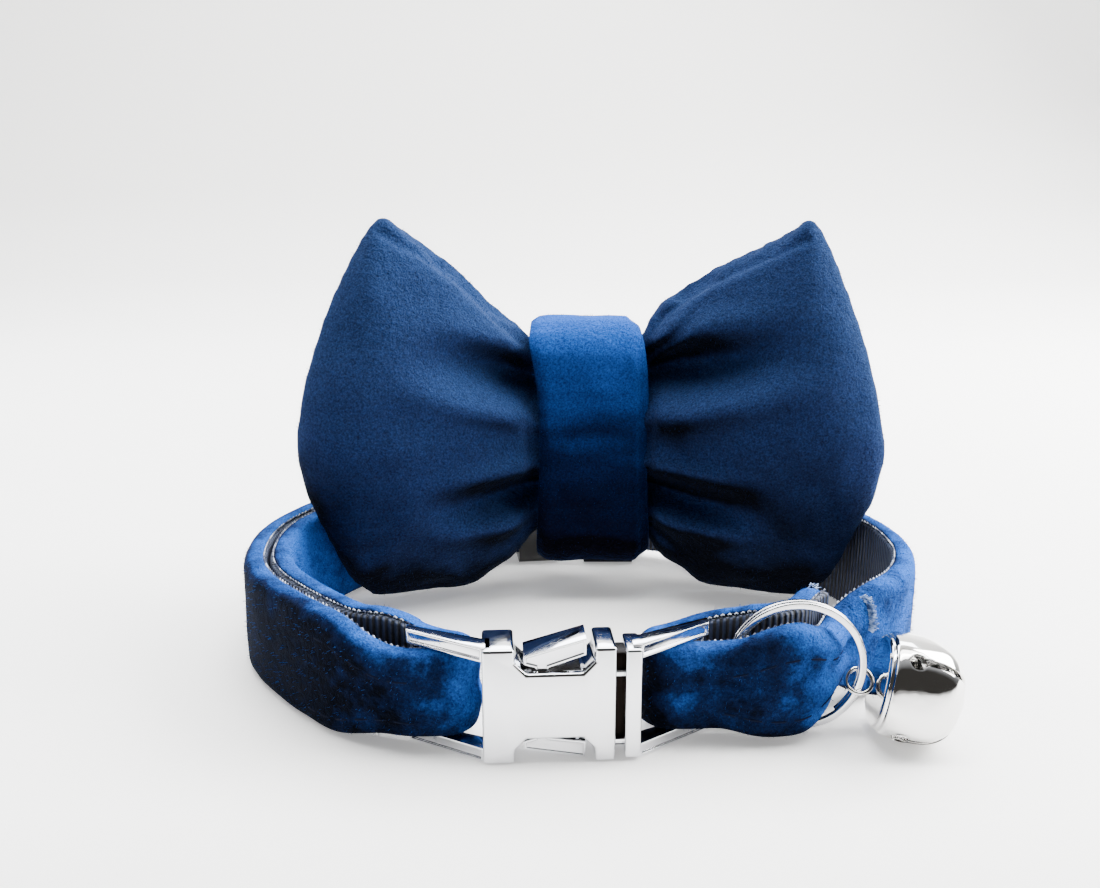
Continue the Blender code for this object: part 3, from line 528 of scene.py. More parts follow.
ARM_DEPTH = 2.7 * MM
BAR_RADIUS = 0.8 * MM
BAR_REACH = 7.25 * MM
BAR_BACK = ARM_SETBACK + ARM_SWEEP * BAR_REACH / ARM_REACH + ARM_DEPTH / 2
NOSE_FROM_BAR = BAR_REACH - GAP - BAND_THICKNESS
STRAIGHT_PAST_BAR = 2.2 * MM
LEFT_TURN = math.radians(21.0)
FOLD_STEPS = 13
SLOT_PLAY = 0.1 * MM
LIFT_FROM, LIFT_OVER = 0.6, 0.3
PINCH_FROM = 1.45 * MM
PINCH_RUN = 10.0 * MM
RING_SPACE = 1.84 * MM
TAIL_END_SPACE = 0.42 * MM
TAIL_LENGTH = 23.0 * MM
INNER_END = -1.9 * MM
PATH_STEP = 1.1 * MM

LOOP_ROUTE = [
    # across, deep, wide
    (0.420, 0.014, 1.00), (0.505, 0.019, 0.93), (0.572, 0.032, 0.88), (0.628, 0.060, 0.70),
    (0.664, 0.098, 0.60), (0.696, 0.137, 0.64), (0.752, 0.167, 0.86), (0.822, 0.199, 1.00),
    (0.903, 0.256, 1.00), (0.967, 0.336, 1.00), (1.000, 0.430, 1.00), (0.985, 0.560, 1.00),
    (0.885, 0.712, 1.00), (0.640, 0.842, 1.00), (0.390, 0.930, 1.00), (0.140, 0.984, 1.00),
    (-0.110, 1.000, 1.00), (-0.400, 0.955, 1.00), (-0.670, 0.858, 1.00), (-0.855, 0.744, 1.00),
    (-0.957, 0.634, 1.00), (-0.994, 0.548, 1.00), (-1.000, 0.454, 1.00), (-0.973, 0.339, 1.00),
    (-0.905, 0.243, 1.00), (-0.800, 0.155, 1.00), (-0.680, 0.074, 1.00), (-0.590, 0.030, 1.00),
]
print("slot", round(SLOT_HEIGHT / MM, 1), "mm, band", round(BAND_WIDTH / MM, 1), "mm")

# %% [markdown]
# A Catmull-Rom curve passes through every row of the table. The buckle's own places are turned by
# its small yaw before they join the route, so the band leads straight onto its bars.

# %% The band's route
to_buckle = Matrix.Translation(BUCKLE_PLACE) @ Matrix.Rotation(BUCKLE_YAW, 4, "Z")


def smooth_route(rows, step):
    samples = []
    for index in range(len(rows) - 1):
        before = rows[max(index - 1, 0)]
        start, end = rows[index], rows[index + 1]
        after = rows[min(index + 2, len(rows) - 1)]
        pieces = max(2, round(math.hypot(end[0] - start[0], end[1] - start[1]) / step))
        for piece in range(pieces):
            t = piece / pieces
            samples.append(tuple(
                0.5 * (2 * b + (c - a) * t + (2 * a - 5 * b + 4 * c - d) * t * t
                       + (3 * b - a - 3 * c + d) * t * t * t)
                for a, b, c, d in zip(before, start, end, after)))
    samples.append(rows[-1])
    return samples


def bar_place(side):
    end = SOCKET_LEFT if side < 0 else PLUG_RIGHT
    return Vector((end + side * BAR_REACH, BAR_BACK, 0.0))


def row_at_bar(side, turn, past):
    out = Vector((-math.sin(turn), -math.cos(turn), 0.0))
    along = Vector((math.cos(turn), -math.sin(turn), 0.0))
    cover = BAR_RADIUS + GAP + BAND_THICKNESS
    placed = to_buckle @ (bar_place(side) + out * cover + along * side * past)
    return placed.x, placed.y, BAND_WIDTH


def outer_route():
    rows = [row_at_bar(1, 0.0, 0.0), row_at_bar(1, 0.0, STRAIGHT_PAST_BAR)]
    for across, deep, wide in LOOP_ROUTE:
        rows.append((across * LOOP_WIDTH / 2 + LOOP_START.x, deep * LOOP_DEPTH + LOOP_START.y,
                     wide * BAND_WIDTH))
    rows += [row_at_bar(-1, LEFT_TURN, STRAIGHT_PAST_BAR), row_at_bar(-1, LEFT_TURN, 0.0)]
    return smooth_route(rows, PATH_STEP)


def outward(points, index):
    before, after = points[max(index - 1, 0)], points[min(index + 1, len(points) - 1)]
    along = Vector((after[0] - before[0], after[1] - before[1])).normalized()
    return Vector((along.y, -along.x))


def lengths_along(points):
    total = [0.0]
    for first, second in zip(points, points[1:]):
        total.append(total[-1] + math.hypot(second[0] - first[0], second[1] - first[1]))
    return total


route = outer_route()
route_lengths = lengths_along(route)
print("loop's outer length", round(route_lengths[-1] / MM), "mm in", len(route), "points")

# %% [markdown]
# Next come the inner layers. Each row below is a place on the webbing's free face with the band's
# width there and the height of its lower edge: narrow in the buckle's slots, squeezed at the ring,
# and lifted a little at the back, where the elastic passes under it.

# %% The whole strip's path


def strip_row(x, y, wide, free):
    """free runs from 0 in a slot to 1 where the strip has its own width."""
    slot = SLOT_HEIGHT - SLOT_PLAY
    width = min(BAND_WIDTH, slot + (wide - slot) * free)
    waist = min(1.0, 2.0 * (BAND_WIDTH - wide) / BAND_WIDTH)
    middle = BAND_WIDTH / 2 + (RING_RADIUS - BAND_WIDTH / 2) * waist
    middle += (BUCKLE_HEIGHT - BAND_WIDTH) / 2 * (1.0 - free)
    lift = BACK_LIFT * ease(((y - LOOP_START.y) / LOOP_DEPTH - LIFT_FROM) / LIFT_OVER)
    return x, y, width, max(0.0, lift + middle - width / 2)


def fold_rows(side):
    """The U round a bar."""
    radius = BAR_RADIUS + GAP
    straight = NOSE_FROM_BAR - radius
    rows = []
    for step in range(FOLD_STEPS):
        angle = math.pi * (step + 1) / (FOLD_STEPS + 1)
        nose = Vector((-side * (straight + radius * math.sin(angle)),
                       side * radius * math.cos(angle), 0.0))
        placed = to_buckle @ (bar_place(side) + nose)
        rows.append(strip_row(placed.x, placed.y, BAND_WIDTH, 0.0))
    return rows


def strip_path():
    total = route_lengths[-1]
    main = []
    for index, (x, y, wide) in enumerate(route):
        out = outward(route, index)
        distance = min(route_lengths[index], total - route_lengths[index])
        free = ease((distance - PINCH_FROM) / PINCH_RUN)
        main.append(strip_row(x - out.x * BAND_THICKNESS, y - out.y * BAND_THICKNESS, wide, free))
    bar_space = 2 * (BAR_RADIUS + GAP)
    tail = []
    for index, row in enumerate(main):
        if route_lengths[index] > TAIL_LENGTH:
            break
        share = route_lengths[index] / TAIL_LENGTH
        space = bar_space + (RING_SPACE - bar_space) * ease(share * 3)
        space += (TAIL_END_SPACE - RING_SPACE) * ease((share - 0.6) / 0.3)
        out = outward(route, index)
        free = ease((route_lengths[index] + NOSE_FROM_BAR) / PINCH_RUN)
        tail.append(strip_row(row[0] - out.x * space, row[1] - out.y * space, BAND_WIDTH, free))
    tail.reverse()
    inner = []
    for index in range(len(main) - 1, -1, -1):
        distance = total - route_lengths[index]
        space = bar_space + (GAP - bar_space) * ease((distance - BAR_RADIUS) / PINCH_RUN)
        out = outward(route, index)
        x, y = main[index][0] - out.x * space, main[index][1] - out.y * space
        if y > 0.0 and x > INNER_END:
            break
        if inner and (x - inner[-1][0]) * out.y - (y - inner[-1][1]) * out.x < PATH_STEP / 2:
            continue
        inner.append(strip_row(x, y, BAND_WIDTH, ease((distance + NOSE_FROM_BAR) / PINCH_RUN)))
    return {"tail": tail, "right_fold": fold_rows(1), "main": main, "left_fold": fold_rows(-1),
            "inner": inner}


path_parts = strip_path()
strip = [row for part in path_parts.values() for row in part]
strip_lengths = lengths_along(strip)
STRIP_LENGTH = strip_lengths[-1]
print("strip of", round(STRIP_LENGTH / MM), "mm, rows:",
      {part: len(rows) for part, rows in path_parts.items()})

# %% [markdown]
# A layer of the band is a grid of points: one row for each place on the path, one column for each
# point of its cross-section. The grid is a primitive, laid along the path by its points' places,
# closed into a tube and given a map in millimetres for its pattern.

# %% Lay a layer along the path


def lay_layer(name, profile, ruffle):
    """profile rows are (depth, inset, is_top); ruffle moves a point outwards by its place."""
    rows, columns = len(strip), len(profile) + 1
    layer = grid(name, columns - 1, rows - 1)
    mesh = layer.data
    around = [0.0]
    for first, second in zip(profile, profile[1:] + profile[:1]):
        climb = BAND_WIDTH if first[2] != second[2] else abs(first[1] - second[1])
        around.append(around[-1] + math.hypot(first[0] - second[0], climb))
    for index in range(rows):
        x, y, width, base = strip[index]
        out = outward(strip, index)
        for column in range(columns):
            depth, inset, is_top = profile[column % len(profile)]
            z = base + width - inset if is_top else base + inset
            depth += ruffle(index, depth, (z - base) / width, width)
            mesh.vertices[index * columns + column].co = (x + out.x * depth, y + out.y * depth, z)
    layout = mesh.uv_layers["UVMap"].data
    for loop in mesh.loops:
        row, column = divmod(loop.vertex_index, columns)
        layout[loop.index].uv = (strip_lengths[row] / MM, around[column] / MM)
    weld(layer, close=True)
    smooth(layer)
    return layer


def crown(height, share):
    """A low swell across a strip, nothing at both edges."""
    return height * (1.0 - (2.0 * share - 1.0) ** 4)


# %% [markdown]
# The velvet wraps over both edges of the webbing, so from above it shows as two soft rolled rims
# with the dark tape between them. Squeezing it through the ring or a slot throws it into lengthwise
# pleats, deepest where the strip is narrowest. Only the part outside the webbing is ruffled.

# %% Velvet of the band
OUTSIDE_FROM = WEBBING_THICKNESS + 0.25 * MM
# millimetres along the strip
RING_FROM, RING_TO = 30.0, 60.0
PLEATS_ACROSS = 2.4


def mirrored(half):
    """Cross-section rows for the lower half, then the same for the upper half in reverse."""
    lower = [(depth * MM, inset * MM, False) for depth, inset in half]
    upper = [(depth * MM, inset * MM, True) for depth, inset in reversed(half)]
    return lower + upper


velvet_profile = mirrored([
    # depth, inset
    (1.38, 3.20), (1.36, 0.75), (1.20, 0.42), (0.55, 0.40), (0.50, 0.14), (0.90, 0.00),
    (1.60, 0.00), (2.25, 0.08), (2.70, 0.34), (2.95, 0.85), (3.02, 1.60), (3.02, 2.60),
    (3.02, 3.80), (3.02, 4.70)])


def velvet_ruffle(index, depth, share, width):
    if depth < OUTSIDE_FROM + 0.1 * MM:
        return 0.0
    run = strip_lengths[index] / MM
    squeeze = (BAND_WIDTH - width) / BAND_WIDTH
    outer = ease((depth - OUTSIDE_FROM) / (1.2 * MM))
    wander = 0.15 + 0.05 * math.sin(run / 3.0)
    pleats = squeeze * math.cos(2 * math.pi * (PLEATS_ACROSS * share + wander))
    waves = noise.noise(Vector((run / 7.5, share * 2.2, 3.0))) * 0.22
    creases = noise.noise(Vector((run / 2.6, share * 4.0, 9.0))) * 0.10
    deep = 0.55 + 0.7 * ease((run - RING_FROM) / 4.0) * ease((RING_TO - run) / 4.0)
    return (waves + creases + deep * pleats) * MM * outer + crown(0.22 * MM, share) * outer


velvet_band = lay_layer("velvet_band", velvet_profile, velvet_ruffle)
modify(velvet_band, "SUBSURF", levels=1, render_levels=1)
hand_over(velvet_band, band_velvet, "band_velvet")
print("velvet band:", len(velvet_band.data.polygons), "faces")

# %% [markdown]
# The webbing is the same grid with a flat cross-section. Its selvedge is a yarn that runs from face
# to face at each rib, and that zigzag is what shows between the velvet rims, so it is a real tube.

# %% Webbing and its selvedge yarn
webbing_profile = mirrored([
    # depth, inset
    (0.02, 6.00), (0.00, 0.95), (0.12, 0.60), (0.98, 0.60), (1.10, 0.95), (1.08, 6.00)])
webbing = lay_layer("ribbed_webbing", webbing_profile, lambda index, depth, share, width: 0.0)
hand_over(webbing, webbing_finish, "band_webbing")

YARN_PITCH = RIB_PITCH * MM


def strip_place(run, depth, height, from_top=True):
    """A place on the strip: how far along, how deep from its free face, how far from its edge."""
    low = min(max(bisect.bisect_right(strip_lengths, run) - 1, 0), len(strip) - 2)
    high = low + 1
    share = (run - strip_lengths[low]) / max(1e-9, strip_lengths[high] - strip_lengths[low])
    first, second = strip[low], strip[high]
    x, y, width, base = (a + (b - a) * share for a, b in zip(first, second))
    out = outward(strip, low).lerp(outward(strip, high), share).normalized()
    z = base + width - height if from_top else base + height
    return Vector((x + out.x * depth, y + out.y * depth, z)), Vector((out.x, out.y, 0.0))


def tube(name, lines, radius, sides=1):
    """Lines of points made round, by a curve with a bevel."""
    data = bpy.data.curves.new(name, "CURVE")
    data.dimensions = "3D"
    data.bevel_depth = radius
    data.bevel_resolution = sides
    data.use_fill_caps = True
    for line in lines:
        spline = data.splines.new("POLY")
        spline.points.add(len(line) - 1)
        for point, place in zip(spline.points, line):
            point.co = (*place, 1.0)
    made = bpy.data.objects.new(name, data)
    bpy.context.collection.objects.link(made)
    pick(made)
    bpy.ops.object.convert(target="MESH")
    smooth(bpy.context.object)
    return bpy.context.object


BEAD = ((-0.18, 0.46, 0.30), (0.0, 0.40, 0.12), (0.18, 0.46, 0.30))
bead_lines = []
for number in range(int(STRIP_LENGTH / YARN_PITCH) - 1):
    run = (number + 0.5) * YARN_PITCH
    for from_top in (True, False):
        bead_lines.append([strip_place(run + shift * MM, depth * MM, inset * MM, from_top)[0]
                           for shift, depth, inset in BEAD])
beads = tube("velvet_edge_threads", bead_lines, 0.085 * MM)
hand_over(beads, edge_thread_finish)

selvedge_lines = []
for from_top in (True, False):
    line = []
    for turn in range(int(STRIP_LENGTH / YARN_PITCH * 2) - 1):
        run = (turn + 0.5) * YARN_PITCH / 2
        depth = 0.20 * MM if turn % 2 else 0.88 * MM
        line.append(strip_place(run, depth, 0.62 * MM, from_top)[0])
    selvedge_lines.append(line)
selvedge = tube("webbing_selvedge_yarn", selvedge_lines, 0.15 * MM)
hand_over(selvedge, yarn_painted_glint_finish)
print("selvedge yarn:", len(selvedge.data.polygons), "faces")

# %% [markdown]
# The bow is a velvet pillow gathered in the middle by the knot. Its outline is tall pointed tops,
# flat bottoms that stand inside the band, and sides that just lean over it. The table gives both
# wings by distance from the middle, and a thickness that is fullest where the pillow is widest.

# %% Form of the bow
BOW_CENTRE = Vector((1.9 * MM, 18.70 * MM, 23.3 * MM))
BOW_LEAN = math.tan(math.radians(6.0))
BOW_SWEEP = 13.5 * MM
BOW_HALF = 42.1
SWEEP_FROM = 0.201
BACK_SHARE = 0.86

WING_ROWS = [
    # out, bottom, top_left, top_right, thick
    (0.0, 9.4, 37.0, 37.0, 7.8), (7.6, 9.0, 37.6, 38.0, 8.0), (8.9, 7.8, 39.4, 41.6, 9.2),
    (11.0, 5.0, 42.0, 45.0, 12.4), (14.0, 2.8, 44.8, 47.4, 15.0), (17.0, 0.9, 48.0, 49.4, 16.4),
    (20.0, 0.3, 51.0, 51.2, 17.4), (24.0, 0.2, 53.9, 53.2, 18.0), (27.0, 0.2, 55.6, 54.6, 17.4),
    (29.2, 0.3, 56.9, 55.8, 16.6), (31.2, 0.8, 57.4, 57.2, 15.8), (32.4, 1.4, 55.4, 57.4, 15.0),
    (34.2, 2.8, 52.6, 53.8, 14.0), (36.0, 5.2, 48.6, 49.2, 12.8), (37.2, 7.8, 46.2, 46.0, 11.6),
    (38.4, 10.8, 43.2, 42.6, 10.2), (39.6, 13.8, 39.4, 38.8, 8.6), (40.8, 16.4, 35.2, 33.4, 6.6),
    (41.6, 19.0, 31.6, 29.2, 4.4), (42.1, 22.8, 27.6, 26.0, 2.4),
]
SIDE_STEPS = 26
OUT_STEPS = 44


def wing_row(out):
    for first, second in zip(WING_ROWS, WING_ROWS[1:]):
        if out <= second[0]:
            share = (out - first[0]) / (second[0] - first[0])
            return [a + (b - a) * share for a, b in zip(first, second)]
    return WING_ROWS[-1]


def wing_middle(out):
    beyond = max(0.0, out / 42.0 - SWEEP_FROM) / (1.0 - SWEEP_FROM)
    return BOW_CENTRE.y - BOW_SWEEP * beyond ** 1.25


def wing_place(side, out, turn):
    """turn runs 0 to 1 up the front and 1 to 2 down the back."""
    row = wing_row(out)
    low, high, thick = row[1] * MM, row[2 if side < 0 else 3] * MM, row[4] * MM
    climb = turn if turn <= 1.0 else 2.0 - turn
    lift = 0.5 - 0.5 * math.cos(math.pi * climb)
    swell = math.sin(math.pi * lift) ** 0.6
    face = -1.0 if turn <= 1.0 else BACK_SHARE
    z = low + (high - low) * lift
    y = wing_middle(out) + face * thick / 2 * swell + (z - BOW_CENTRE.z) * BOW_LEAN
    return Vector((BOW_CENTRE.x + side * out * MM, y, z))


columns = 2 * SIDE_STEPS
bow = grid("velvet_bow", columns, 2 * OUT_STEPS)
for vertex in bow.data.vertices:
    row, column = divmod(vertex.index, columns + 1)
    side = -1 if row < OUT_STEPS else 1
    out = BOW_HALF * abs(row - OUT_STEPS) / OUT_STEPS
    vertex.co = wing_place(side, out, (column % columns) / SIDE_STEPS)
weld(bow, close=True)
smooth(bow)
print("bow starts from", len(bow.data.polygons), "faces")

# %% [markdown]
# The pillow gets its fullness and its first wrinkles from a cloth simulation: an even mesh, a
# little extra cloth, gentle pressure from inside, and the part in the knot held still. Cloth
# behaves best near a metre across, so the bow is simulated at ten times its size. No point may move
# further than a small cap, because the outline is already right.

# %% Fill the bow
SIM_SCALE = 10.0
SIM_FRAMES = 20
CLOTH = {
    "use_pressure": True, "uniform_pressure_force": 4.0, "shrink_min": -0.03,
    "vertex_group_mass": "held", "quality": 5, "tension_stiffness": 12.0,
    "compression_stiffness": 12.0, "bending_stiffness": 0.4,
}


def fill_with_cloth(piece, voxel, held, cap):
    """held is the share by which a place is held still, cap the furthest that a point may move."""
    modify(piece, "REMESH", mode="VOXEL", voxel_size=voxel)
    start = [vertex.co.copy() for vertex in piece.data.vertices]
    group = piece.vertex_groups.new(name="held")
    for vertex in piece.data.vertices:
        group.add([vertex.index], held(vertex.co), "REPLACE")
        vertex.co = vertex.co * SIM_SCALE
    cloth = piece.modifiers.new("filling", "CLOTH")
    set_all(cloth.settings, CLOTH)
    cloth.settings.effector_weights.gravity = 0.0
    set_all(cloth.point_cache, {"frame_start": 1, "frame_end": SIM_FRAMES})
    for step in range(1, SIM_FRAMES + 1):
        bpy.context.scene.frame_set(step)
    apply_modifier(piece, cloth)
    furthest = 0.0
    for vertex, before in zip(piece.data.vertices, start):
        move = vertex.co / SIM_SCALE - before
        furthest = max(furthest, move.length)
        if move.length > cap:
            move = move.normalized() * cap
        vertex.co = before + move
    bpy.context.scene.frame_set(1)
    piece.vertex_groups.clear()
    print(piece.name, "moved up to", round(furthest / MM, 2), "mm, capped at",
          round(cap / MM, 2))
    modify(piece, "SMOOTH", factor=0.5, iterations=3)
    modify(piece, "SUBSURF", levels=1, render_levels=1)


fill_with_cloth(bow, voxel=1.25 * MM, cap=0.9 * MM,
                held=lambda co: float(abs(co.x - BOW_CENTRE.x) < 9.5 * MM))
print("bow:", len(bow.data.vertices), "points")

# %% [markdown]
# The gathers that run out of the knot are sculpted afterwards, as valleys between two places on the
# front with a depth and a width each. They fade towards their outer end, and the cloth beside a
# valley rises a little, which is what makes it read as a fold and not as a scratch. A shallow
# groove under the top edge is the seam.

# %% Gathers of the bow
GATHERS = [
    # from_x, from_z, to_x, to_z, depth, width
    (-7.1, 32.3, -27.5, 39.0, 6.4, 2.9), (-7.2, 16.5, -25.5, 15.0, 5.4, 2.4),
    (-8.0, 38.6, -17.0, 46.0, 1.4, 1.1), (10.0, 34.0, 34.0, 40.4, 6.6, 3.2),
    (8.6, 16.5, 28.0, 15.4, 5.4, 2.4), (9.0, 36.6, 17.5, 45.4, 1.9, 0.9),
    (9.0, 39.4, 15.5, 47.0, 1.6, 0.8), (8.6, 11.5, 16.0, 6.0, 1.4, 1.2),
    (-8.4, 11.5, -15.0, 6.4, 1.2, 1.2),
]
SEAM_BELOW_TOP = 2.3
SEAM_WIDTH = 0.75
SEAM_DEPTH = 0.65 * MM


def gather_depth(x, z):
    total = 0.0
    for from_x, from_z, to_x, to_z, depth, width in GATHERS:
        run_x, run_z = to_x - from_x, to_z - from_z
        along = ((x - from_x) * run_x + (z - from_z) * run_z) / (run_x ** 2 + run_z ** 2)
        held = min(1.0, max(-0.3, along))
        away = math.hypot(x - from_x - run_x * held, z - from_z - run_z * held) / width
        fade = ease(1.0 - max(0.0, along))
        total += depth * fade * (math.exp(-away ** 2) - 0.35 * math.exp(-(away - 1.7) ** 2 / 0.5))
    return total


bow_normals = [vertex.normal.copy() for vertex in bow.data.vertices]
for vertex, normal in zip(bow.data.vertices, bow_normals):
    x = (vertex.co.x - BOW_CENTRE.x) / MM
    z = vertex.co.z / MM
    middle = wing_middle(abs(x)) + (vertex.co.z - BOW_CENTRE.z) * BOW_LEAN
    front = (middle - vertex.co.y) / (6.0 * MM)
    if abs(x) > 7.0:
        vertex.co.y += gather_depth(x, z) * MM * max(-0.5, min(1.0, front))
    vertex.co.y += noise.noise(Vector((x / 6.0, z / 6.0, 2.0 if front > 0 else 7.0))) * 0.35 * MM
    row = wing_row(abs(x))
    top = row[2] if x < 0 else row[3]
    from_seam = (top - z - SEAM_BELOW_TOP) / SEAM_WIDTH
    seam = math.exp(-from_seam ** 2) * ease((abs(x) - 8.0) / 3.0)
    if front > 0.0 and abs(x) < 30.0:
        vertex.co -= normal * seam * SEAM_DEPTH
    vertex.co.z = max(vertex.co.z, 0.15 * MM)
smooth(bow)
hand_over(bow, bow_velvet, "bow_wings")
print("bow finished:", [round(a / MM, 1) for a in bow.dimensions], "mm")

# %% [markdown]
# The knot is a folded strip of the same velvet, wound once round the bow's middle. Stretched over
# the pillow it is smoother than the wings, and its copy of the velvet has a bluer painted light and
# a deeper painted shade below; its edges are rolled, and a second layer shows as a step just inside
# the right edge. It is laid as a grid round a rounded section, given a wall by Solidify, and
# rounded by one level of subdivision.

# %% Knot of the bow
KNOT_CENTRE = Vector((2.55 * MM, 18.70 * MM, 23.3 * MM))
KNOT_WIDTH = 16.9 * MM
KNOT_HEIGHT = 36.6 * MM
KNOT_DEPTH = 13.6 * MM
KNOT_ROUND = 5.2 * MM
KNOT_WALL = 1.5 * MM
FOLD_AT = 0.90
KNOT_ROWS = 120
KNOT_COLUMNS = 34


def knot_section(share):
    """A place on the rounded section, as (y, z, out_y, out_z), for a share of the way round."""
    half_y = KNOT_DEPTH / 2 - KNOT_ROUND
    half_z = KNOT_HEIGHT / 2 - KNOT_ROUND
    arc = math.pi / 2 * KNOT_ROUND
    total = 4 * arc + 4 * half_z + 4 * half_y
    left = share * total
    corners = [(-half_y, -half_z, math.pi), (-half_y, half_z, math.pi / 2), (half_y, half_z, 0.0),
               (half_y, -half_z, -math.pi / 2)]
    for index, (y, z, angle) in enumerate(corners):
        along = 2 * half_z if index in (0, 2) else 2 * half_y
        step_y, step_z = ((0, 1), (1, 0), (0, -1), (-1, 0))[index]
        if left <= along:
            out = (math.cos(angle), math.sin(angle))
            return (y + step_y * left + out[0] * KNOT_ROUND,
                    z + step_z * left + out[1] * KNOT_ROUND, *out)
        left -= along
        y, z = y + step_y * along, z + step_z * along
        if left <= arc:
            turned = angle - left / KNOT_ROUND
            out = (math.cos(turned), math.sin(turned))
            return (y + out[0] * KNOT_ROUND, z + out[1] * KNOT_ROUND, *out)
        left -= arc
    return knot_section(0.0)


knot = grid("velvet_knot", KNOT_COLUMNS, KNOT_ROWS)
for vertex in knot.data.vertices:
    row, column = divmod(vertex.index, KNOT_COLUMNS + 1)
    around = (row % KNOT_ROWS) / KNOT_ROWS
    across = column / KNOT_COLUMNS
    y, z, out_y, out_z = knot_section(around)
    rolled = min(across, 1.0 - across) * KNOT_WIDTH
    out = -0.7 * MM * math.exp(-(rolled / (0.9 * MM)) ** 2)
    out -= 0.55 * MM * ease((across - FOLD_AT + 0.012) / 0.024)
    out += crown(0.45 * MM, across)
    out += noise.noise(Vector((across * 3.0, around * 16.0, 1.0))) * 0.30 * MM
    out += noise.noise(Vector((across * 1.2, around * 42.0, 5.0))) * 0.16 * MM
    front = ease(-out_y)
    waist = 1.0 - 0.03 * math.cos(math.pi * z / (KNOT_HEIGHT / 2)) * front
    lean_left = -1.1 * MM * ease((z - 6 * MM) / (12 * MM))
    x = (across - 0.5) * KNOT_WIDTH * waist + lean_left
    y, z = y + out_y * (out - 0.5 * MM), z + out_z * (out - 0.5 * MM)
    vertex.co = KNOT_CENTRE + Vector((x, y + z * BOW_LEAN, z))
weld(knot)
modify(knot, "SOLIDIFY", thickness=KNOT_WALL, offset=-1.0)
modify(knot, "SUBSURF", levels=1, render_levels=1)
smooth(knot)
hand_over(knot, knot_velvet, "bow_knot")
print("knot:", len(knot.data.polygons), "faces")

# %% [markdown]
# The buckle is cast, so every edge has a small even radius. Each part starts as a flat outline: a
# circle primitive whose points go to the outline's corners, filled and extruded. Then a Bevel
# modifier rounds the edges. The parts are made in the buckle's own straight frame and turned into
# place at the end.

# %% Outlines with thickness


def plate(name, outline, axis, low, high):
    """A closed outline made solid along Y or Z."""
    deselect_all()
    bpy.ops.mesh.primitive_circle_add(vertices=len(outline), fill_type="NGON")
    made = bpy.context.object
    made.name = name
    for vertex, (u, v) in zip(made.data.vertices, outline):
        vertex.co = (u, low, v) if axis == "Y" else (u, v, low)
    along = (0.0, high - low, 0.0) if axis == "Y" else (0.0, 0.0, high - low)
    bpy.ops.object.mode_set(mode="EDIT")
    bpy.ops.mesh.select_all(action="SELECT")
    bpy.ops.mesh.extrude_region_move(TRANSFORM_OT_translate={"value": along})
    bpy.ops.mesh.select_all(action="SELECT")
    bpy.ops.mesh.normals_make_consistent(inside=False)
    bpy.ops.object.mode_set(mode="OBJECT")
    return made


def block(name, low, high):
    outline = [(low[0], low[1]), (high[0], low[1]), (high[0], high[1]), (low[0], high[1])]
    return plate(name, outline, "Z", low[2], high[2])


def round_edges(piece, radius, segments=3):
    modify(piece, "BEVEL", width=radius, segments=segments, limit_method="ANGLE",
           angle_limit=math.radians(30.0))


def cut(piece, cutter):
    modify(piece, "BOOLEAN", operation="DIFFERENCE", object=cutter, solver="EXACT")
    bpy.data.objects.remove(cutter, do_unlink=True)


def place_on_buckle(piece, finish=buckle_chrome):
    piece.data.transform(to_buckle)
    smooth(piece, 40)
    hand_over(piece, finish)
    print(piece.name, len(piece.data.polygons), "faces")


# %% [markdown]
# The socket half has a broad polished face between two posts, with a notch above and below for the
# levers. Its notch corners are chamfered. The lever wells are pockets in the notch floors, cut
# after the edges are rounded so that they stay crisp.

# %% Socket half
NOTCH_DEPTH = 2.9 * MM
NOTCH_CORNER = 1.3 * MM
BUCKLE_DEPTH = 5.8 * MM
ARM_HEIGHT = (BUCKLE_HEIGHT - SLOT_HEIGHT) / 2
ARM_TIP_SHARE = 0.55
WELL_WALL = 0.9 * MM
WELL_SIDE = 0.2 * MM
post_left = SOCKET_LEFT + 3.5 * MM
post_right = SOCKET_RIGHT - 2.3 * MM
notch_low, notch_high = NOTCH_DEPTH, BUCKLE_HEIGHT - NOTCH_DEPTH
socket_outline = [
    (SOCKET_LEFT, 0.0), (post_left, 0.0), (post_left, notch_low - NOTCH_CORNER),
    (post_left + NOTCH_CORNER, notch_low), (post_right - NOTCH_CORNER, notch_low),
    (post_right, notch_low - NOTCH_CORNER), (post_right, 0.0), (SOCKET_RIGHT, 0.0),
    (SOCKET_RIGHT, BUCKLE_HEIGHT), (post_right, BUCKLE_HEIGHT),
    (post_right, notch_high + NOTCH_CORNER), (post_right - NOTCH_CORNER, notch_high),
    (post_left + NOTCH_CORNER, notch_high), (post_left, notch_high + NOTCH_CORNER),
    (post_left, BUCKLE_HEIGHT), (SOCKET_LEFT, BUCKLE_HEIGHT)]
socket = plate("buckle_socket_half", socket_outline, "Y", 0.0, BUCKLE_DEPTH)
round_edges(socket, 0.38 * MM, 4)
well_left = post_left + NOTCH_CORNER + WELL_SIDE
well_right = post_right - NOTCH_CORNER - WELL_SIDE
for low_z, high_z in ((notch_low - 1.0 * MM, notch_low + 1.6 * MM),
                      (notch_high - 1.6 * MM, notch_high + 1.0 * MM)):
    cut(socket, block("well", (well_left, WELL_WALL, low_z),
                      (well_right, BUCKLE_DEPTH - WELL_WALL, high_z)))


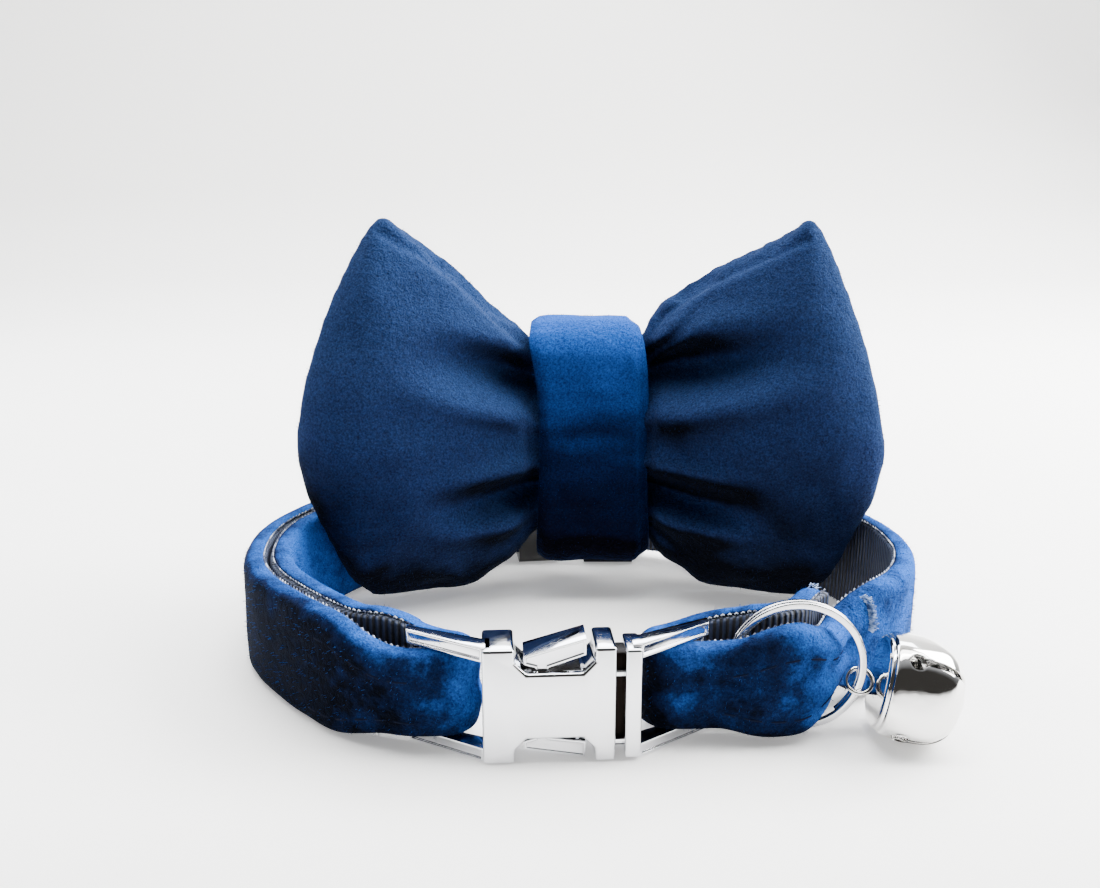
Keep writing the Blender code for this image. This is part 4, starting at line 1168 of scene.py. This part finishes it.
def swept_arm(root, side, low):
    """An arm that sweeps back from a half, with a recessed panel in its outer edge face."""
    tip = root + side * ARM_REACH
    inside = root - side * 1.0 * MM
    outline = [(inside, ARM_SETBACK), (root, ARM_SETBACK), (tip, ARM_SETBACK + ARM_SWEEP),
               (tip, ARM_SETBACK + ARM_SWEEP + ARM_DEPTH * ARM_TIP_SHARE),
               (root, ARM_SETBACK + ARM_DEPTH), (inside, ARM_SETBACK + ARM_DEPTH)]
    arm = plate("arm", outline, "Z", low, low + ARM_HEIGHT)
    outer = Vector((side * ARM_SWEEP, -ARM_REACH, 0.0)).normalized()
    sink_panel(arm, outer, rim=0.30 * MM, slope=0.06 * MM, depth=0.26 * MM)
    round_edges(arm, 0.10 * MM, 2)
    return arm


def strap_bar(root, side):
    deselect_all()
    place = (root + side * BAR_REACH, BAR_BACK, BUCKLE_HEIGHT / 2)
    bpy.ops.mesh.primitive_cylinder_add(vertices=32, radius=BAR_RADIUS,
                                        depth=BUCKLE_HEIGHT - 1.0 * MM, location=place)
    bar = bpy.context.object
    bpy.ops.object.transform_apply(location=True, rotation=True, scale=True)
    round_edges(bar, 0.12 * MM, 2)
    return bar


socket = join(socket, swept_arm(SOCKET_LEFT, -1, 0.0),
              swept_arm(SOCKET_LEFT, -1, BUCKLE_HEIGHT - ARM_HEIGHT), strap_bar(SOCKET_LEFT, -1))
place_on_buckle(socket)
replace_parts(socket, "buckle_socket")

# %% [markdown]
# Each lever is a small wedge that rocks in its well: thin at the left, thick at the right, where
# the fingers press it. The plug half is a plate, and a dark tongue and two bright prongs run from
# it into the socket; the tongue's dark finish is a painted shade for the gap between the halves.

# %% Levers and plug half


def lever(name, upper):
    left, right = post_left + 1.0 * MM, post_right - 0.9 * MM
    floor_z = BUCKLE_HEIGHT - NOTCH_DEPTH + 0.45 * MM
    top = BUCKLE_HEIGHT + (0.75 * MM if upper else -0.05 * MM)
    outline = [(left, floor_z + 0.25 * MM), (left + 1.2 * MM, floor_z - 0.1 * MM),
               (left + 1.3 * MM, floor_z - 1.4 * MM), (left + 2.6 * MM, floor_z - 1.4 * MM),
               (left + 2.8 * MM, floor_z - 0.1 * MM), (right, top - 1.95 * MM), (right, top),
               (left, floor_z + 1.25 * MM)]
    if not upper:
        outline = [(u, BUCKLE_HEIGHT - v) for u, v in reversed(outline)]
    wedge = plate(name, outline, "Y", 0.95 * MM, BUCKLE_DEPTH - 1.05 * MM)
    sink_panel(wedge, Vector((0.0, -1.0, 0.0)), rim=0.26 * MM, slope=0.06 * MM, depth=0.12 * MM)
    round_edges(wedge, 0.16 * MM, 3)
    place_on_buckle(wedge)
    return wedge


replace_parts(lever("buckle_upper_lever", True), "buckle_lever_upper")
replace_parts(lever("buckle_lower_lever", False), "buckle_lever_lower")

PLUG_DEPTH = 4.6 * MM
PLUG_LOWER = 0.3 * MM
plug = block("buckle_plug_half", (PLUG_LEFT, 0.0, PLUG_LOWER),
             (PLUG_RIGHT, PLUG_DEPTH, BUCKLE_HEIGHT - PLUG_LOWER))
round_edges(plug, 0.32 * MM, 4)
tongue = block("buckle_tongue", (SOCKET_RIGHT - 0.8 * MM, 1.3 * MM, 1.2 * MM),
               (PLUG_LEFT + 0.3 * MM, 4.2 * MM, BUCKLE_HEIGHT - 1.2 * MM))
round_edges(tongue, 0.2 * MM, 2)
place_on_buckle(tongue, tongue_painted_shade_finish)
prongs = []
for middle in (2.0 * MM, BUCKLE_HEIGHT - 3.4 * MM):
    prong = block("prong", (SOCKET_RIGHT - 0.6 * MM, 0.75 * MM, middle - 0.32 * MM),
                  (PLUG_LEFT + 0.4 * MM, 1.6 * MM, middle + 0.32 * MM))
    round_edges(prong, 0.15 * MM, 2)
    prongs.append(prong)
plug = join(plug, *prongs, strap_bar(PLUG_RIGHT, 1), swept_arm(PLUG_RIGHT, 1, 0.0),
            swept_arm(PLUG_RIGHT, 1, BUCKLE_HEIGHT - ARM_HEIGHT))
place_on_buckle(plug)
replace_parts(plug, "buckle_plug")

# %% [markdown]
# The split ring is a flat wire wound nearly twice round, one turn lying behind the other. It
# crosses over at the bottom, where both cut ends show as a step. It is a wire section laid along
# the path, with its corners broken as a drawn wire has them.

# %% Split ring
RING_WIRE = 0.85 * MM
RING_COIL = 0.62 * MM
RING_TURNS = 1.86
RING_CENTRE = Vector((24.184 * MM, -27.925 * MM, 8.02 * MM))
RING_FIRST_END = math.radians(-99.0)
CROSSING_FROM = 0.86
WIRE_CORNER = 0.17 * MM
RING_ROWS = 380

wire_section = []
for sign_out, sign_side in ((1, 1), (-1, 1), (-1, -1), (1, -1)):
    first = math.atan2(sign_side, sign_out) - math.pi / 4
    for step in range(5):
        angle = first + math.pi / 8 * step
        wire_section.append(
            (sign_out * (RING_WIRE / 2 - WIRE_CORNER) + WIRE_CORNER * math.cos(angle),
             sign_side * (RING_COIL / 2 - WIRE_CORNER) + WIRE_CORNER * math.sin(angle)))

columns = len(wire_section)
ring = grid("wound_split_ring", columns, RING_ROWS - 1)
for vertex in ring.data.vertices:
    row, column = divmod(vertex.index, columns + 1)
    turn = RING_TURNS * row / (RING_ROWS - 1)
    angle = RING_FIRST_END - 2 * math.pi * turn
    out = Vector((math.cos(angle), 0.0, math.sin(angle)))
    side = (ease((turn - CROSSING_FROM) / (1.0 - CROSSING_FROM)) - 0.5) * RING_COIL * 1.1
    across, aside = wire_section[column % columns]
    vertex.co = (RING_CENTRE + out * (RING_RADIUS - RING_WIRE / 2 + across)
                 + Vector((0.0, side + aside, 0.0)))
weld(ring, close=True)
smooth(ring, 32)
hand_over(ring, ring_chrome, "split_ring")
print("ring:", round(2 * RING_RADIUS / MM, 1), "mm wide,", len(ring.data.polygons), "faces")

# %% [markdown]
# The bell is pressed from thin brass: a flat cap, four flattened petals that curl in at the tip,
# and four slits between them that end in round holes. Each petal is a grid whose sides are pulled
# back from the slit by half its width, so slit and hole come out of the layout. Solidify gives the
# sheet its wall and Bevel its soft rims. A wire eye closes round the split ring.

# %% Bell
BELL_LENGTH = 9.2 * MM
BELL_RADIUS = 6.0 * MM
BELL_WALL = 0.45 * MM
BELL_PLACE = (37.79 * MM, -29.525 * MM)
SLIT_HALF = 0.36 * MM
HOLE_RADIUS = 0.95 * MM
HOLE_ALONG = 0.30
PETAL_COLUMNS = 26
EYE_PLACE = (31.54 * MM, -27.925 * MM, 6.2 * MM)
EYE_RADIUS = 1.45 * MM
EYE_WIRE = 0.27 * MM
BELL_ROWS = [
    # along the axis, radius, both as shares
    (0.000, 0.00), (0.000, 0.40), (0.000, 0.80), (0.010, 0.87), (0.030, 0.905), (0.055, 0.910),
    (0.065, 0.935), (0.090, 0.965), (0.160, 0.985), (0.300, 1.00), (0.480, 1.00), (0.620, 0.975),
    (0.740, 0.915), (0.840, 0.82), (0.910, 0.70), (0.960, 0.54), (0.990, 0.34), (1.000, 0.12),
]


def petal_square(angle, share):
    """1 on a round bell; larger in the corners of a squarer one."""
    power = 2.0 + 0.85 * math.sin(math.pi * min(1.0, 0.12 + share * 0.9))
    return 0.97 * (abs(math.cos(angle)) ** power + abs(math.sin(angle)) ** power) ** (-1 / power)


bell_rows = smooth_route([(along * BELL_LENGTH, out * BELL_RADIUS) for along, out in BELL_ROWS],
                         0.20 * MM)
petals = []
for quarter in range(4):
    petal = grid("petal", PETAL_COLUMNS, len(bell_rows) - 1)
    for vertex in petal.data.vertices:
        row, column = divmod(vertex.index, PETAL_COLUMNS + 1)
        along, radius = bell_rows[row]
        radius = max(radius, 0.0)
        from_hole = along - HOLE_ALONG * BELL_LENGTH
        half = math.sqrt(max(0.0, HOLE_RADIUS ** 2 - from_hole ** 2))
        if from_hole > 0.0:
            half = max(half, SLIT_HALF)
        share = column / PETAL_COLUMNS
        span = max(0.02, math.pi / 4 - half / max(radius, 0.4 * MM))
        angle = math.pi / 2 * quarter + span * (2.0 * share - 1.0)
        radius *= petal_square(angle, along / BELL_LENGTH)
        vertex.co = (along - BELL_LENGTH / 2, radius * math.cos(angle), radius * math.sin(angle))
    petals.append(petal)
bell = join(*petals)
bell.name = "pressed_bell"
weld(bell, 0.02 * MM)
modify(bell, "SOLIDIFY", thickness=BELL_WALL, offset=-1.0, use_even_offset=False)
modify(bell, "BEVEL", width=0.09 * MM, segments=2, limit_method="ANGLE",
       angle_limit=math.radians(50))
turned = (Matrix.Rotation(math.radians(-9), 4, "Z") @ Matrix.Rotation(math.radians(10), 4, "Y")
          @ Matrix.Rotation(math.radians(-7), 4, "X"))
bell.data.transform(turned)
lowest = min(vertex.co.z for vertex in bell.data.vertices)
bell.data.transform(Matrix.Translation((*BELL_PLACE, 0.02 * MM - lowest)))

deselect_all()
bpy.ops.mesh.primitive_torus_add(
    major_radius=EYE_RADIUS, minor_radius=EYE_WIRE, major_segments=48, minor_segments=14,
    location=EYE_PLACE, rotation=(math.radians(52), 0.0, math.radians(-12)))
eye = bpy.context.object
bpy.ops.object.transform_apply(location=True, rotation=True, scale=True)
bell = join(bell, eye)
smooth(bell, 42)
hand_over(bell, bell_chrome, "bell_shell")
print("bell:", len(bell.data.polygons), "faces")

# %% [markdown]
# Small sewing gives the band its scale. Each folded end is held by a run of stitches near its upper
# and lower edge, sunk in the pile. The places come from a ray shot at the finished velvet, so
# thread and cloth always meet. The raw end of the strip, beside the ring, has shed pale threads of
# its ground.

# %% Stitches and frayed end
velvet_tree = BVHTree.FromObject(velvet_band, bpy.context.evaluated_depsgraph_get())
main_row = len(path_parts["tail"]) + len(path_parts["right_fold"])
main_start = strip_lengths[main_row]
main_end = strip_lengths[len(strip) - len(path_parts["inner"]) - len(path_parts["left_fold"])]
STITCH_PITCH = 2.3 * MM
STITCH_LENGTH = 1.7 * MM
STITCH_SAG = ((0.0, -0.20), (0.15, -0.04), (0.5, 0.0), (0.85, -0.04), (1.0, -0.20))
STITCH_RUNS = [
    # from, stitches, direction, from the edge, upper edge
    (main_start + 4.0 * MM, 6, 1, 3.4 * MM, True), (main_start + 3.0 * MM, 7, 1, 2.4 * MM, False),
    (main_end - 3.5 * MM, 5, -1, 3.0 * MM, True), (main_end - 3.0 * MM, 6, -1, 2.2 * MM, False),
]
OVERLAP_AT = 31.6 * MM


def on_velvet(run, height, from_top, lift):
    """A place on the band's outer face, lift above the pile's ground."""
    place, out = strip_place(run, 7.0 * MM, height, from_top)
    hit = velvet_tree.ray_cast(place, -out)[0]
    return (hit if hit else place - out * 4.0 * MM) + out * lift


stitch_lines = []
for start, count, turned, height, from_top in STITCH_RUNS:
    for number in range(count):
        first = start + turned * number * STITCH_PITCH
        stitch_lines.append([on_velvet(first + turned * share * STITCH_LENGTH, height, from_top,
                                       lift * MM) for share, lift in STITCH_SAG])
stitches = tube("band_stitches", stitch_lines, 0.13 * MM, 2)
hand_over(stitches, thread_finish)

random.seed(11)
fray_lines = []
for number in range(260):
    height = random.uniform(0.2, BAND_WIDTH / MM - 0.2) * MM
    depth = random.uniform(1.45, 2.9) * MM
    root, out = strip_place(0.0, depth, height)
    along = Vector((-out.y, out.x, 0.0)) * -1.0
    if (strip_place(1.0 * MM, depth, height)[0] - root).dot(along) > 0.0:
        along = -along
    reach = random.uniform(0.3, 0.95) * MM
    side = Vector((random.uniform(-0.3, 0.3), random.uniform(-0.3, 0.3),
                   random.uniform(-0.35, 0.35))) * MM
    fray_lines.append([root - along * 0.2 * MM, root + along * reach * 0.5 + side * 0.3,
                       root + along * reach + side])
overlap_row = next(index for index in range(main_row, len(strip)) if strip[index][0] > OVERLAP_AT)
for number in range(190):
    height = random.uniform(0.1, 4.4)
    run = strip_lengths[overlap_row] + (0.16 * height + random.uniform(0.0, 0.5)) * MM
    root = on_velvet(run, height * MM, True, -0.1 * MM)
    tip = on_velvet(run + random.uniform(0.3, 0.9) * MM, (height + random.uniform(-0.3, 0.5)) * MM,
                    True, random.uniform(0.15, 0.5) * MM)
    fray_lines.append([root, (root + tip) / 2 + Vector((0.0, -0.08 * MM, 0.05 * MM)), tip])
frayed = tube("frayed_velvet_end", fray_lines, 0.045 * MM)
hand_over(frayed, frayed_finish)
print("stitches:", len(stitch_lines), "frayed threads:", len(fray_lines))

# %% [markdown]
# Velvet never has a clean outline: single fibres of the pile stand out from it and catch the light.
# They are real here, very thin and short, scattered over each velvet piece by the area of its faces
# and leaning a little up and to the right. Each takes its piece's velvet, painted light and shade
# included.

# %% Stray fibres of the pile
FIBRE_RADIUS = 0.016 * MM
FIBRE_ROOT = 0.08 * MM


def stray_fibres(piece, name, finish, count, reach, seed):
    random.seed(seed)
    mesh = piece.data
    areas = list(itertools.accumulate(face.area for face in mesh.polygons))
    lines = []
    for number in range(count):
        face = mesh.polygons[bisect.bisect_left(areas, random.random() * areas[-1])]
        corners = [mesh.vertices[index].co for index in face.vertices]
        weights = [random.random() + 0.05 for corner in corners]
        root = sum((corner * weight for corner, weight in zip(corners, weights)), Vector())
        root /= sum(weights)
        lean = Vector((random.uniform(-0.5, 0.8), random.uniform(-0.5, 0.5),
                       random.uniform(-0.4, 0.9)))
        away = (face.normal + lean * 0.55).normalized()
        tip = root + away * random.uniform(0.5, 1.0) * reach
        if tip.z > 0.3 * MM:
            lines.append([root - face.normal * FIBRE_ROOT, tip])
    fibres = tube(name, lines, FIBRE_RADIUS, 0)
    hand_over(fibres, finish)
    print(name, len(lines))


stray_fibres(bow, "bow_pile_fibres", bow_velvet,
             count=11000, reach=0.50 * MM, seed=21)
stray_fibres(knot, "knot_pile_fibres", knot_velvet,
             count=3500, reach=0.42 * MM, seed=22)
stray_fibres(velvet_band, "band_pile_fibres", band_velvet,
             count=12000, reach=0.48 * MM, seed=23)
